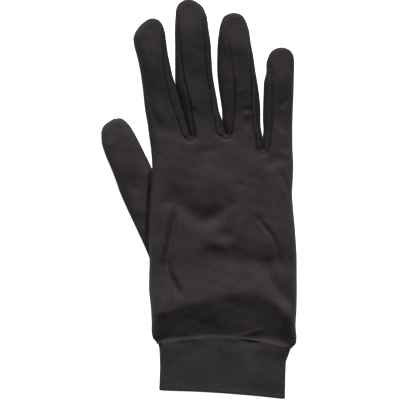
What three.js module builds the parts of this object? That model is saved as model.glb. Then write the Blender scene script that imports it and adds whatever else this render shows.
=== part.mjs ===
// A thin knitted glove liner for a right hand, lying on its palm with the back of the hand up.
// Millimetres, +Z up. The fingers point along +Y, the thumb lies out to -X, the cuff opens towards -Y.
// It is sewn from thin walls round an open hollow: a back and a palm panel that each carry four finger
// faces, a side strip (fourchette) round each gap between two fingers, a thumb tube set into a hole in
// the palm panel, and a knitted cuff tube.

import * as THREE from 'three';

const { lerp, clamp, smoothstep, degToRad } = THREE.MathUtils;

// Hand sizes. The length runs from the cuff seam to the roots of the fingers.
const handWidth = 91;
const handLength = 129;
const handHeight = 13;

// Finger and thumb sizes
const indexLength = 75;
const middleLength = 86.5;
const ringLength = 81.5;
const littleLength = 64.5;
const fingerHeight = 10;
const thumbLength = 82;
const thumbWidth = 22.7;
const thumbHeight = 9;
const thumbTuckHeight = 7;
const thumbTuck = 2;

// Cuff sizes
const cuffWidth = 78;
const cuffLength = 31;
const cuffHeight = 8.2;
const seamArch = 4.9;
const hemArch = 1;

// Cloth, rounded edges and clearances
const clothWall = 1;
const cuffWall = 1.6;
const upperRoll = 12.5;
const lowerRoll = 4;
const sideHeight = 4;
const thumbSideHeight = 3.6;
const thumbSettle = 9;
const fingerGap = 0.6;
const seamGap = 0.3;
const tuckGap = 0.3;
const holeGap = 0.5;
const crotchSeam = 2.8;
const palmSeam = 2.5;
const leastStrip = 0.1;

const halfHand = handWidth / 2;
const halfThumb = thumbWidth / 2;
const halfCuff = cuffWidth / 2;

// A table's rows as objects with named columns
const table = (columns, rows) =>
  rows.map((row) => Object.fromEntries(columns.map((name, i) => [name, row[i]])));

// Both sides of the hand, from the cuff seam to the finger roots, as shares of its length and half width.
// The hole is the far rim of the thumb's hole, on the palm panel alone.
const HAND_ROWS = table(
  ['leftAlong', 'left', 'rightAlong', 'right', 'hole'],
  [
    [0.007, -0.88, -0.015, 0.946],
    [0.03, -0.95, 0.002, 1.012],
    [0.059, -0.972, 0.03, 1.027],
    [0.11, -0.973, 0.09, 1.015],
    [0.18, -0.984, 0.17, 1.027],
    [0.26, -1.008, 0.26, 1.032],
    [0.33, -1.008, 0.335, 1.031],
    [0.395, -1.001, 0.4, 1.03],
    [0.43, -1, 0.435, 1.029, -0.83],
    [0.5, -1.011, 0.5, 1.018, -0.69],
    [0.58, -1.007, 0.58, 1.002, -0.65],
    [0.66, -0.997, 0.66, 0.98, -0.69],
    [0.735, -0.983, 0.735, 0.967, -0.78],
    [0.8, -0.972, 0.8, 0.976, -0.885],
    [0.86, -0.964, 0.855, 0.983],
    [0.935, -0.978, 0.9, 0.981],
    [1.013, -1.007, 0.946, 0.974],
  ],
);

// Where two fingers part, as shares of the half width and the hand's length
const CROTCHES = table(
  ['across', 'along'],
  [
    [-0.432, 1.012],
    [0.055, 1.022],
    [0.558, 0.946],
  ],
);

// Each finger's sections from root to tip. Along is a share of its length. The edges and the seams'
// distance in from them are shares of half its width at the root. The last row is the tip.
const FINGER_COLUMNS = ['along', 'left', 'right', 'leftSeam', 'rightSeam'];
const FINGERS = [
  {
    length: indexLength,
    lean: 9.9,
    rows: table(FINGER_COLUMNS, [
      [0, -1, 1, 0, 0.36],
      [0.13, -0.96, 0.83, 0, 0.38],
      [0.27, -0.955, 0.75, 0, 0.41],
      [0.42, -0.9, 0.65, 0, 0.36],
      [0.56, -0.87, 0.62, 0, 0.28],
      [0.69, -0.89, 0.59, 0, 0.19],
      [0.8, -0.945, 0.61, 0, 0.13],
      [0.87, -0.91, 0.63, 0, 0.08],
      [0.93, -0.67, 0.58, 0, 0],
      [0.978, -0.31, 0.41, 0, 0],
      [1, 0.08, 0.08, 0, 0],
    ]),
  },
  {
    length: middleLength,
    lean: 7.9,
    rows: table(FINGER_COLUMNS, [
      [0, -1, 1, 0.23, 0.43],
      [0.13, -1.1, 0.81, 0.36, 0.36],
      [0.27, -1.27, 0.76, 0.52, 0.27],
      [0.42, -1.42, 0.72, 0.53, 0.29],
      [0.55, -1.32, 0.78, 0.37, 0.29],
      [0.66, -1.2, 0.85, 0.28, 0.31],
      [0.77, -1.09, 0.84, 0.23, 0.23],
      [0.87, -0.95, 0.82, 0.12, 0.1],
      [0.93, -0.86, 0.68, 0, 0],
      [0.978, -0.62, 0.31, 0, 0],
      [1, -0.1, -0.1, 0, 0],
    ]),
  },
  {
    length: ringLength,
    lean: 4.8,
    rows: table(FINGER_COLUMNS, [
      [0, -1, 1, 0.36, 0.26],
      [0.13, -1.03, 0.97, 0.53, 0.4],
      [0.27, -1.08, 1.04, 0.74, 0.47],
      [0.42, -1.15, 1.01, 0.87, 0.33],
      [0.55, -1.17, 0.93, 0.86, 0.22],
      [0.66, -1.11, 0.87, 0.77, 0.15],
      [0.77, -1.02, 0.8, 0.58, 0.12],
      [0.86, -0.89, 0.77, 0.3, 0.09],
      [0.93, -0.74, 0.64, 0, 0],
      [0.98, -0.52, 0.42, 0, 0],
      [1, -0.04, -0.04, 0, 0],
    ]),
  },
  {
    length: littleLength,
    lean: -1.8,
    rows: table(FINGER_COLUMNS, [
      [0, -1, 1, 0.41, 0],
      [0.13, -0.93, 0.96, 0.47, 0],
      [0.27, -1.04, 0.93, 0.56, 0],
      [0.42, -1.07, 0.93, 0.56, 0],
      [0.55, -1.07, 0.94, 0.53, 0],
      [0.66, -1.06, 0.935, 0.49, 0],
      [0.75, -0.93, 0.93, 0.34, 0],
      [0.84, -0.93, 0.93, 0.2, 0],
      [0.92, -0.78, 0.86, 0, 0],
      [0.975, -0.49, 0.6, 0, 0],
      [1, 0.07, 0.07, 0, 0],
    ]),
  },
];

// The thumb's closed sections from crotch to tip, as shares of its length and half width
const THUMB_LEAN = 23;
const THUMB_ROOT = { across: -0.798, along: 0.513 };
const THUMB_ROWS = table(
  ['along', 'left', 'right'],
  [
    [0.56, -1.2, 0.9],
    [0.66, -1.18, 0.87],
    [0.76, -1.18, 0.83],
    [0.85, -1.13, 0.77],
    [0.905, -1.01, 0.7],
    [0.95, -0.86, 0.58],
    [0.982, -0.6, 0.41],
    [1, 0, 0],
  ],
);

// The thumb's outer side where it opens into the hand, one place for each hand row with a hole,
// as shares of the half width and the hand's length
const THUMB_FLARE = table(
  ['across', 'along'],
  [
    [-1.02, 0.437],
    [-1.083, 0.489],
    [-1.17, 0.555],
    [-1.27, 0.63],
    [-1.348, 0.69],
    [-1.417, 0.747],
  ],
);
const THUMB_HEEL = { across: -0.998, along: 0.415, upper: -0.968, lower: -0.937 };

// Where the back's left side is lifted over the thumb, as shares of the hand's length
const LIFT = { start: 0.3, full: 0.41, fall: 0.85, end: 0.96 };

// The cuff's sides from the seam to the hem, as shares of its length and half width
const CUFF_ROWS = table(
  ['along', 'left', 'right'],
  [
    [0, -1.024, 1.1],
    [0.12, -1.006, 1.068],
    [0.28, -1, 1.02],
    [0.52, -0.992, 1.012],
    [0.76, -1, 1.01],
    [1, -1.01, 1.006],
  ],
);
const HEM = { leftAlong: -0.92, rightAlong: -1.095 };

// How high the hand's back lies from cuff to knuckles, as shares of the hand's length and height
const LOFT = table(
  ['along', 'rise'],
  [
    [-0.02, 0.63],
    [0.03, 0.7],
    [0.09, 0.78],
    [0.24, 1.08],
    [0.43, 0.84],
    [0.6, 0.96],
    [0.8, 0.9],
    [1, 0.86],
  ],
);
const KNUCKLES = { start: 0.9, end: 1.1 };

// The back's main folds, as shares of the half width and the hand's length. The rise is a share of its
// height and negative in a dent. The turn is in degrees from +X. Reach is half a fold's length and
// spread half its width, both shares of the half width.
const FOLDS = table(
  ['across', 'along', 'reach', 'spread', 'turn', 'rise'],
  [
    [0.1, 0.44, 0.55, 0.11, -3, -0.08],
    [-0.45, 0.61, 0.26, 0.09, -20, 0.1],
    [0.05, 0.6, 0.4, 0.09, 14, 0.1],
    [-0.5, 0.71, 0.3, 0.09, -42, -0.12],
    [-0.72, 0.48, 0.34, 0.09, 82, -0.1],
    [0.55, 0.29, 0.45, 0.09, -48, 0.1],
    [0.72, 0.46, 0.4, 0.08, -62, -0.1],
    [0.84, 0.84, 0.34, 0.08, -55, -0.07],
    [-0.3, 0.95, 0.35, 0.08, 5, -0.06],
    [0.3, 0.87, 0.35, 0.12, 10, 0.05],
  ],
);

// Shares across a face between two seams, closer together at its rolled edges
const FINGER_COLUMNS_ACROSS = [0, 0.07, 0.26, 0.5, 0.74, 0.93, 1];
const FOURCHETTE_UPPER = [1, 0.6, 0.2, 0];
const FOURCHETTE_LOWER = [0.4, 1];
const FOURCHETTE_END = 0.35;
const CROTCH_TURNS = [225, 270, 315];
const THUMB_UPPER_STEPS = 7;
const THUMB_LOWER_STEPS = 6;
const CUFF_UPPER_STEPS = 14;
const CUFF_LOWER_STEPS = 12;

const handPoint = (across, along) => new THREE.Vector2(across * halfHand, along * handLength);

// A table's column between its rows, eased so that the surface has no kink
function readTable(rows, column, place) {
  if (place <= rows[0].along) return rows[0][column];
  const next = rows.findIndex((row) => row.along > place);
  if (next < 0) return rows.at(-1)[column];
  const from = rows[next - 1];
  const to = rows[next];
  return lerp(from[column], to[column], smoothstep(place, from.along, to.along));
}

// Shares from 0 to 1 that crowd at both ends
function easedShares(steps) {
  return Array.from({ length: steps + 1 }, (_, i) => (1 - Math.cos((Math.PI * i) / steps)) / 2);
}

// A place on an outline, with the distance of the upper and the lower seam in from it
function makeStation(point, seam = 0) {
  return { point, upperSeam: seam, lowerSeam: Math.min(seam, palmSeam), normal: new THREE.Vector2() };
}

// Both sides of a finger in plan, each a list of stations from the root to the shared tip
function planFinger(finger, leftCrotch, rightCrotch) {
  const root = leftCrotch.clone().lerp(rightCrotch, 0.5);
  const half = (rightCrotch.x - leftCrotch.x) / 2;
  const lean = degToRad(finger.lean);
  const axis = new THREE.Vector2(-Math.sin(lean), Math.cos(lean));
  const side = new THREE.Vector2(axis.y, -axis.x);
  const place = (row, offset) =>
    root.clone().addScaledVector(axis, row.along * finger.length).addScaledVector(side, offset * half);
  const left = finger.rows.map((row) => makeStation(place(row, row.left), row.leftSeam * half));
  const right = finger.rows.map((row) => makeStation(place(row, row.right), row.rightSeam * half));
  left[0].point.copy(leftCrotch);
  right[0].point.copy(rightCrotch);
  right[right.length - 1] = left.at(-1);
  return { left, right };
}

// Where a side line lies at a given height of the plan
function acrossAt(points, y) {
  for (let i = 1; i < points.length; i += 1) {
    const from = points[i - 1];
    const to = points[i];
    if (y >= from.y && y <= to.y) return lerp(from.x, to.x, (y - from.y) / (to.y - from.y));
  }
  return null;
}

// Fingers that lie against each other push each other aside and keep their gap
function pressApart(leftFinger, rightFinger) {
  const near = leftFinger.right.map((station) => station.point.clone());
  const far = rightFinger.left.map((station) => station.point.clone());
  const push = (stations, other, away) => {
    for (const { point } of stations.slice(1)) {
      const across = acrossAt(other, point.y);
      if (across !== null && (point.x - across) * away < fingerGap) {
        point.x = (point.x + across + away * fingerGap) / 2;
      }
    }
  };
  push(leftFinger.right, far, -1);
  push(rightFinger.left, near, 1);
}

// The bend at the bottom of the gap between two fingers
function bendCrotch({ across, along }, leftFinger, rightFinger) {
  return CROTCH_TURNS.map((degrees) => {
    const turn = degToRad(degrees);
    const inward = new THREE.Vector2(Math.cos(turn), Math.sin(turn));
    const sideSeam = (inward.x < 0 ? leftFinger.right : rightFinger.left)[0].upperSeam;
    const point = handPoint(across, along).addScaledVector(inward, fingerGap / 2);
    return makeStation(point, lerp(sideSeam, crotchSeam, inward.y ** 2));
  });
}

// Each station's outward direction. An outline runs up its left side and down its right side.
function aimNormals(outline) {
  outline.forEach((station, i) => {
    const before = outline[Math.max(i - 1, 0)].point;
    const after = outline[Math.min(i + 1, outline.length - 1)].point;
    const along = new THREE.Vector2();
    for (const way of [station.point.clone().sub(before), after.clone().sub(station.point)]) {
      if (way.length() > 0) along.add(way.normalize());
    }
    station.normal.set(-along.y, along.x).normalize();
  });
}

// How far a point lies from an outline, and the direction from there
function measureFrom(outline, point) {
  let distance = Infinity;
  const inward = new THREE.Vector2();
  for (let i = 1; i < outline.length; i += 1) {
    const from = outline[i - 1].point;
    const way = outline[i].point.clone().sub(from);
    const share = clamp(point.clone().sub(from).dot(way) / way.lengthSq(), 0, 1);
    const reach = point.clone().sub(from).addScaledVector(way, -share);
    if (reach.length() < distance) {
      distance = reach.length();
      inward.copy(reach);
    }
  }
  return { distance, inward: inward.normalize() };
}

// One point of a wall that rolls up or down from its outline's height to its crest
function wallPoint(point, { distance, inward }, edge, crest, roll, wall) {
  const depth = Math.min(distance / roll, 1);
  const rise = Math.sqrt(depth * (2 - depth));
  const facing = Math.sign(crest - edge);
  const outer = new THREE.Vector3(point.x, point.y, lerp(edge, crest, rise));
  const steepness = Math.abs(crest - edge) * (1 - depth);
  const outward = new THREE.Vector3(-inward.x * steepness, -inward.y * steepness, facing * roll * rise);
  return { outer, inner: outer.clone().addScaledVector(outward.normalize(), -wall) };
}

// A wall of one thickness: faces outside, the same faces inside, and a rim along every open edge
class Sheet {
  vertices = [];
  faces = [];
  indexOf = new Map();

  add(vertex) {
    const key = vertex.outer.toArray().map((value) => value.toFixed(5)).join(' ');
    if (!this.indexOf.has(key)) {
      this.indexOf.set(key, this.vertices.length);
      this.vertices.push(vertex);
    }
    return this.indexOf.get(key);
  }

  face(corners) {
    const ring = corners.map((corner) => this.add(corner));
    const open = ring.filter((index, i) => index !== ring.at(i - 1));
    for (let i = 2; i < open.length; i += 1) this.faces.push([open[0], open[i - 1], open[i]]);
  }

  grid(rows, flipped = false) {
    for (let i = 1; i < rows.length; i += 1) {
      for (let k = 1; k < rows[i].length; k += 1) {
        const corners = [rows[i - 1][k - 1], rows[i - 1][k], rows[i][k], rows[i][k - 1]];
        this.face(flipped ? corners.reverse() : corners);
      }
    }
  }

  toGeometry() {
    const count = this.vertices.length;
    const edges = new Set(this.faces.flatMap(([a, b, c]) => [`${a} ${b}`, `${b} ${c}`, `${c} ${a}`]));
    const triangles = [];
    for (const [a, b, c] of this.faces) {
      triangles.push([a, b, c], [count + a, count + c, count + b]);
      for (const [from, to] of [[a, b], [b, c], [c, a]]) {
        if (!edges.has(`${to} ${from}`)) {
          triangles.push([to, from, count + from], [to, count + from, count + to]);
        }
      }
    }
    const corners = [
      ...this.vertices.map((vertex) => vertex.outer),
      ...this.vertices.map((vertex) => vertex.inner),
    ];
    const geometry = new THREE.BufferGeometry().setFromPoints(corners);
    geometry.setIndex(triangles.flat());
    geometry.computeVertexNormals();
    return geometry;
  }
}

// The hand's plan
const leftSide = HAND_ROWS.map((row) => makeStation(handPoint(row.left, row.leftAlong)));
const rightSide = HAND_ROWS.map((row) => makeStation(handPoint(row.right, row.rightAlong)));
const rootPoints = [
  leftSide.at(-1).point,
  ...CROTCHES.map(({ across, along }) => handPoint(across, along)),
  rightSide.at(-1).point,
];
const fingers = FINGERS.map((finger, i) => planFinger(finger, rootPoints[i], rootPoints[i + 1]));
for (let i = 1; i < fingers.length; i += 1) {
  fingers[i - 1].right[0].point.x -= fingerGap / 2;
  fingers[i].left[0].point.x += fingerGap / 2;
  pressApart(fingers[i - 1], fingers[i]);
}
const bends = CROTCHES.map((crotch, i) => bendCrotch(crotch, fingers[i], fingers[i + 1]));
const handOutline = [
  ...leftSide.slice(0, -1),
  ...fingers.flatMap((finger, i) => [
    ...finger.left,
    ...finger.right.slice(0, -1).reverse(),
    ...(bends[i] ?? []),
  ]),
  ...rightSide.slice(0, -1).reverse(),
];
aimNormals(handOutline);

// The thumb's plan. Below its crotch its outer side runs on to the heel, and its inner side is open.
const thumbAxis = new THREE.Vector2(-Math.sin(degToRad(THUMB_LEAN)), Math.cos(degToRad(THUMB_LEAN)));
const thumbAcross = new THREE.Vector2(thumbAxis.y, -thumbAxis.x);
const thumbPoint = (along, offset) =>
  handPoint(THUMB_ROOT.across, THUMB_ROOT.along)
    .addScaledVector(thumbAxis, along * thumbLength)
    .addScaledVector(thumbAcross, offset * halfThumb);
const thumbLeft = THUMB_ROWS.map((row) => makeStation(thumbPoint(row.along, row.left)));
const thumbRight = THUMB_ROWS.map((row) => makeStation(thumbPoint(row.along, row.right)));
thumbRight[thumbRight.length - 1] = thumbLeft.at(-1);
const thumbFlare = [THUMB_HEEL, ...THUMB_FLARE].map(({ across, along }) =>
  makeStation(handPoint(across, along)),
);
const thumbOutline = [...thumbFlare, ...thumbLeft, ...thumbRight.slice(0, -1).reverse()];
aimNormals(thumbOutline);

// The height of the hand's edge: half way up, and lifted over the thumb on the left
function edgeHeight(point) {
  const along = point.y / handLength;
  const lifted = smoothstep(along, LIFT.start, LIFT.full) * (1 - smoothstep(along, LIFT.fall, LIFT.end));
  return point.x < 0 ? lerp(sideHeight, thumbTuckHeight + tuckGap, lifted) : sideHeight;
}

function foldHeight(point) {
  let height = 0;
  for (const fold of FOLDS) {
    const turn = degToRad(fold.turn);
    const away = point.clone().sub(handPoint(fold.across, fold.along)).divideScalar(halfHand);
    const lengthways = (away.x * Math.cos(turn) + away.y * Math.sin(turn)) / fold.reach;
    const sideways = (away.y * Math.cos(turn) - away.x * Math.sin(turn)) / fold.spread;
    height += fold.rise * handHeight * Math.exp(-(lengthways ** 2) - sideways ** 2);
  }
  return height;
}

function crestHeight(point) {
  const along = point.y / handLength;
  const hand = handHeight * readTable(LOFT, 'rise', along) + foldHeight(point);
  return lerp(hand, fingerHeight, smoothstep(along, KNUCKLES.start, KNUCKLES.end));
}

// A point of the back or of the palm panel. At the outline itself the two panels keep the seam's gap.
function backPoint(point, place, lift = 0) {
  return wallPoint(point, place, edgeHeight(point) + lift, crestHeight(point), upperRoll, clothWall);
}

function palmPoint(point, place, lift = 0) {
  return wallPoint(point, place, edgeHeight(point) - lift, 0, lowerRoll, clothWall);
}

// A point at some distance in from a station
function insetPoint(station, distance, makePoint, lift) {
  const point = station.point.clone().addScaledVector(station.normal, -distance);
  return makePoint(point, { distance, inward: station.normal.clone().negate() }, lift);
}

function panelEdge(station, seam, makePoint) {
  const onSeam = station[seam] > 0;
  return insetPoint(station, onSeam ? station[seam] + seamGap / 2 : 0, makePoint, onSeam ? 0 : seamGap / 2);
}

const planOf = (vertex) => new THREE.Vector2(vertex.outer.x, vertex.outer.y);

// Rows of vertices across a panel, from its left edge to its right edge
function panelRow(left, right, makePoint) {
  return FINGER_COLUMNS_ACROSS.map((share) => {
    if (share === 0) return left;
    if (share === 1) return right;
    const point = planOf(left).lerp(planOf(right), share);
    return makePoint(point, measureFrom(handOutline, point));
  });
}

// The line where panels and cuff meet, arched towards the hand
function cuffSeamPoint(share) {
  const point = leftSide[0].point.clone().lerp(rightSide[0].point, share);
  point.y += seamArch * 4 * share * (1 - share);
  return point;
}

// A hand panel with its four finger faces. The left side may leave the outline along the thumb's hole.
function makePanel(seam, makePoint, leftEdge, flipped) {
  const sheet = new Sheet();
  const top = [];
  fingers.forEach((finger, i) => {
    const rows = finger.left.map((station, row) =>
      panelRow(panelEdge(station, seam, makePoint), panelEdge(finger.right[row], seam, makePoint), makePoint),
    );
    sheet.grid(rows, flipped);
    top.push(...rows[0]);
    if (bends[i]) top.push(...bends[i].map((station) => panelEdge(station, seam, makePoint)));
  });

  const topLine = top.map(planOf);
  const first = topLine[0];
  const last = topLine.at(-1);
  const shares = topLine.map((point) => (point.x - first.x) / (last.x - first.x));
  const leftStart = leftSide[0].point;
  const rightStart = rightSide[0].point;
  const rows = HAND_ROWS.map((_, i) => {
    const left = leftEdge[i];
    const right = panelEdge(rightSide[i], seam, makePoint);
    const v = (leftSide[i].point.y - leftStart.y) / (first.y - leftStart.y);
    return shares.map((u, k) => {
      if (i === HAND_ROWS.length - 1) return top[k];
      if (k === 0) return left;
      if (k === shares.length - 1) return right;
      const bottomUp = cuffSeamPoint(u).lerp(topLine[k], v);
      const sideways = planOf(left).lerp(planOf(right), u);
      const corners = leftStart.clone().lerp(rightStart, u).lerp(first.clone().lerp(last, u), v);
      const point = bottomUp.add(sideways).sub(corners);
      return makePoint(point, measureFrom(handOutline, point));
    });
  });
  sheet.grid(rows, flipped);
  return sheet.toGeometry();
}

function makeBackPanel() {
  const leftEdge = leftSide.map((station) => panelEdge(station, 'upperSeam', backPoint));
  return makePanel('upperSeam', backPoint, leftEdge, false);
}

function makePalmPanel() {
  const leftEdge = leftSide.map((station, i) => {
    const row = HAND_ROWS[i];
    if (row.hole === undefined) return panelEdge(station, 'lowerSeam', palmPoint);
    const point = handPoint(row.hole, row.leftAlong);
    return palmPoint(point, measureFrom(handOutline, point));
  });
  return makePanel('lowerSeam', palmPoint, leftEdge, true);
}

// A fourchette runs down one finger's side, round the crotch and up the next finger's side
function makeFourchette(index) {
  const sewnPart = (stations) => {
    const last = stations.findLastIndex((station) => station.upperSeam > 0);
    const sewn = stations.slice(0, last + 1);
    const end = makeStation(stations[last].point.clone().lerp(stations[last + 1].point, 0.5));
    end.normal.copy(stations[last].normal).add(stations[last + 1].normal).normalize();
    end.upperSeam = stations[last].upperSeam * FOURCHETTE_END;
    end.lowerSeam = stations[last].lowerSeam * FOURCHETTE_END;
    return [...sewn, end];
  };
  const path = [
    ...sewnPart(fingers[index].right).reverse(),
    ...bends[index],
    ...sewnPart(fingers[index + 1].left),
  ];
  const sections = path.map((station) => [
    ...FOURCHETTE_UPPER.map((share) =>
      insetPoint(station, share * Math.max(station.upperSeam - seamGap / 2, leastStrip), backPoint),
    ),
    ...FOURCHETTE_LOWER.map((share) =>
      insetPoint(station, share * Math.max(station.lowerSeam - seamGap / 2, leastStrip), palmPoint),
    ),
  ]);
  const sheet = new Sheet();
  sheet.grid(sections, true);
  return sheet.toGeometry();
}

// The thumb is highest away from the hand and lies lower where it goes in under the back
function thumbCrest(point) {
  const handEdge = acrossAt(leftSide.map((station) => station.point), point.y) ?? 0;
  return lerp(thumbTuckHeight, thumbHeight, smoothstep(handEdge - point.x, 0, thumbSettle));
}

// One section of the thumb, over the top from its inner to its outer side and back below
function thumbSection(outer, upperEnd, lowerEnd, closed) {
  const place = (point, atOutline, station) =>
    atOutline
      ? { distance: 0, inward: station.normal.clone().negate() }
      : measureFrom(thumbOutline, point);
  const upper = easedShares(THUMB_UPPER_STEPS).map((share) => {
    const point = upperEnd.point.clone().lerp(outer.point, share);
    const atOutline = share === 1 || (closed && share === 0);
    const at = place(point, atOutline, share === 1 ? outer : upperEnd);
    return wallPoint(point, at, thumbSideHeight, thumbCrest(point), upperRoll, clothWall);
  });
  const lower = easedShares(THUMB_LOWER_STEPS).map((share) => {
    const point = outer.point.clone().lerp(lowerEnd.point, share);
    const atOutline = share === 0 || (closed && share === 1);
    const at = place(point, atOutline, share === 0 ? outer : lowerEnd);
    return wallPoint(point, at, thumbSideHeight, 0, lowerRoll, clothWall);
  });
  return [...upper, ...lower.slice(1)];
}

function makeThumb() {
  const holeRows = HAND_ROWS.filter((row) => row.hole !== undefined);
  const heelHeight = THUMB_HEEL.along;
  const heel = thumbSection(
    thumbFlare[0],
    makeStation(handPoint(THUMB_HEEL.upper, heelHeight)),
    makeStation(handPoint(THUMB_HEEL.lower, heelHeight)),
    false,
  );
  const flare = holeRows.map((row, i) => {
    const upperEnd = handPoint(row.left, row.leftAlong).add(new THREE.Vector2(thumbTuck, 0));
    const lowerEnd = handPoint(row.hole, row.leftAlong).add(new THREE.Vector2(-holeGap, 0));
    return thumbSection(thumbFlare[i + 1], makeStation(upperEnd), makeStation(lowerEnd), false);
  });
  const tube = thumbLeft.map((station, i) => thumbSection(station, thumbRight[i], thumbRight[i], true));
  const sheet = new Sheet();
  sheet.grid([heel, ...flare, ...tube].reverse());
  return sheet.toGeometry();
}

// The cuff is a flat tube between the seam's arch and the hem's
function makeCuff() {
  const seamShare = (x) => (x - leftSide[0].point.x) / (rightSide[0].point.x - leftSide[0].point.x);
  const hemY = (x) => {
    const share = (x + halfCuff) / cuffWidth;
    const line = lerp(HEM.leftAlong, HEM.rightAlong, share) * cuffLength;
    return line + hemArch * 4 * share * (1 - share);
  };
  const seamY = (x) => cuffSeamPoint(clamp(seamShare(x), 0, 1)).y - seamGap;
  const rings = CUFF_ROWS.map((row) => {
    const left = row.left * halfCuff;
    const right = row.right * halfCuff;
    const place = (x, crest, roll) => {
      const nearLeft = x - left < right - x;
      const distance = nearLeft ? x - left : right - x;
      const point = new THREE.Vector2(x, lerp(seamY(x), hemY(x), row.along));
      const inward = new THREE.Vector2(nearLeft ? 1 : -1, 0);
      return wallPoint(point, { distance, inward }, sideHeight, crest, roll, cuffWall);
    };
    const upper = easedShares(CUFF_UPPER_STEPS).map((share) =>
      place(lerp(right, left, share), cuffHeight, upperRoll),
    );
    const lower = easedShares(CUFF_LOWER_STEPS).map((share) =>
      place(lerp(left, right, share), 0, lowerRoll),
    );
    return [...upper, ...lower.slice(1)];
  });
  const sheet = new Sheet();
  sheet.grid(rings);
  return sheet.toGeometry();
}

const handKnit = new THREE.MeshStandardMaterial({ color: 0x302c2c, roughness: 0.75, metalness: 0 });
const sideKnit = new THREE.MeshStandardMaterial({ color: 0x2a2626, roughness: 0.78, metalness: 0 });
const cuffKnit = new THREE.MeshStandardMaterial({ color: 0x322f34, roughness: 0.85, metalness: 0 });

function makePiece(name, geometry, material) {
  const piece = new THREE.Mesh(geometry, material);
  piece.name = name;
  return piece;
}

const glove = new THREE.Group();
glove.add(
  makePiece('back_panel', makeBackPanel(), handKnit),
  makePiece('palm_panel', makePalmPanel(), handKnit),
  makePiece('fourchette_index_middle', makeFourchette(0), sideKnit),
  makePiece('fourchette_middle_ring', makeFourchette(1), sideKnit),
  makePiece('fourchette_ring_little', makeFourchette(2), sideKnit),
  makePiece('thumb', makeThumb(), handKnit),
  makePiece('cuff', makeCuff(), cuffKnit),
);

// The origin is at the middle of the glove's underside
const bounds = new THREE.Box3().setFromObject(glove);
const middle = bounds.getCenter(new THREE.Vector3());
glove.position.set(-middle.x, -middle.y, -bounds.min.z);

export default glove;
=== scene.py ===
import math
from functools import partial

import bpy
import numpy as np
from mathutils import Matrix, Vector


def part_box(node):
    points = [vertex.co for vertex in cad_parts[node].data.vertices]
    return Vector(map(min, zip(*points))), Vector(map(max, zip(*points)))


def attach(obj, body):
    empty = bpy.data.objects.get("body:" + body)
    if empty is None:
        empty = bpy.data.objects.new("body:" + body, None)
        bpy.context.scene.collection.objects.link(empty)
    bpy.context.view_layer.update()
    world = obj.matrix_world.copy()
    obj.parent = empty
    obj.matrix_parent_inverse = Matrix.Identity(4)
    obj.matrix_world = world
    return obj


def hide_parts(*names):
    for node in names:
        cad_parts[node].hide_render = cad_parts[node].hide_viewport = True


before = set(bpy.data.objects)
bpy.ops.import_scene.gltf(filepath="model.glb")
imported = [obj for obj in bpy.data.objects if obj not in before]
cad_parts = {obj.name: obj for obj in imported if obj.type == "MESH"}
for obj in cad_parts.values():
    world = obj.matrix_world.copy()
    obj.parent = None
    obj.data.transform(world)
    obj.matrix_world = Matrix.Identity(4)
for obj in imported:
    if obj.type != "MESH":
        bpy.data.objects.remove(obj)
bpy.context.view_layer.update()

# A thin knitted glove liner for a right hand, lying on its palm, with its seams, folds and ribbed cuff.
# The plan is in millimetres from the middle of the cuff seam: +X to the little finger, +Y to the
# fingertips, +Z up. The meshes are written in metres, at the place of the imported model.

# Hand, finger, thumb and cuff sizes
HAND_WIDTH = 91
HAND_LENGTH = 129
FINGER_LENGTHS = {"index": 75, "middle": 86.5, "ring": 81.5, "little": 64.5}
THUMB_LENGTH = 82
THUMB_WIDTH = 22.7
TIP_HEIGHT = 7
TIP_TAPER = (1, 24)
THUMB_HEIGHTS = (6.6, 9.4)
THUMB_RISE = (60, 125)
THUMB_TUCK_HEIGHTS = (2.2, 4.6)
THUMB_TUCK_RISE = (90, 104)
THUMB_TUCK = 2
CUFF_WIDTH = 78
CUFF_LENGTH = 31
CUFF_HEIGHT = 8.2
SEAM_ARCH = 4.9
HEM_ARCH = 1

# Cloth, rounded edges and clearances
CLOTH_WALL = 1
CUFF_WALL = 1.6
HAND_ROLL = 8.5
FINGER_ROLL = 7.5
ROLL_FALL = (0.82, 1)
TIP_ROLL = 3.6
LOWER_ROLL = 4
SIDE_HEIGHT = 4
THUMB_SIDE_HEIGHT = 3.6
EDGE_OVER_THUMB = 6.2
THUMB_SETTLE = (-0.3, 2.8)
FINGER_GAP = 0.1
TOUCH_OVERLAP = 0.12
SEAM_GAP = 0.08
HOLE_GAP = 0.5
CROTCH_SEAM = 2.8
PALM_SEAM = 2.5
LEAST_SEAM = 0.12

HALF_HAND = HAND_WIDTH / 2
HALF_THUMB = THUMB_WIDTH / 2
HALF_CUFF = CUFF_WIDTH / 2
MM = 0.001

# Both sides of the hand from the cuff seam to the finger roots: left along, left across, right along,
# right across, as shares of its length and half width
HAND_ROWS = np.array([
    [0.007, -0.88, -0.015, 0.946], [0.03, -0.95, 0.002, 1.012], [0.059, -0.972, 0.03, 1.027],
    [0.11, -0.973, 0.09, 1.015], [0.18, -0.984, 0.17, 1.027], [0.26, -1.008, 0.26, 1.032],
    [0.33, -1.008, 0.335, 1.031], [0.395, -1.001, 0.4, 1.03], [0.43, -1, 0.435, 1.029],
    [0.5, -1.011, 0.5, 1.018], [0.58, -1.007, 0.58, 1.002], [0.66, -0.997, 0.66, 0.98],
    [0.735, -0.983, 0.735, 0.967], [0.8, -0.972, 0.8, 0.976], [0.86, -0.964, 0.855, 0.983],
    [0.935, -0.978, 0.9, 0.981], [1.013, -1.007, 0.946, 0.974],
])

# The far rim of the thumb's hole in the palm panel: the hand row and the share of the half width
HOLE_ROWS = {8: -0.83, 9: -0.69, 10: -0.65, 11: -0.69, 12: -0.78, 13: -0.885}

# Where two fingers part: across and along
CROTCHES = [(-0.432, 1.012), (0.055, 1.022), (0.558, 0.946)]
CROTCH_TURNS = (225, 270, 315)

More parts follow.
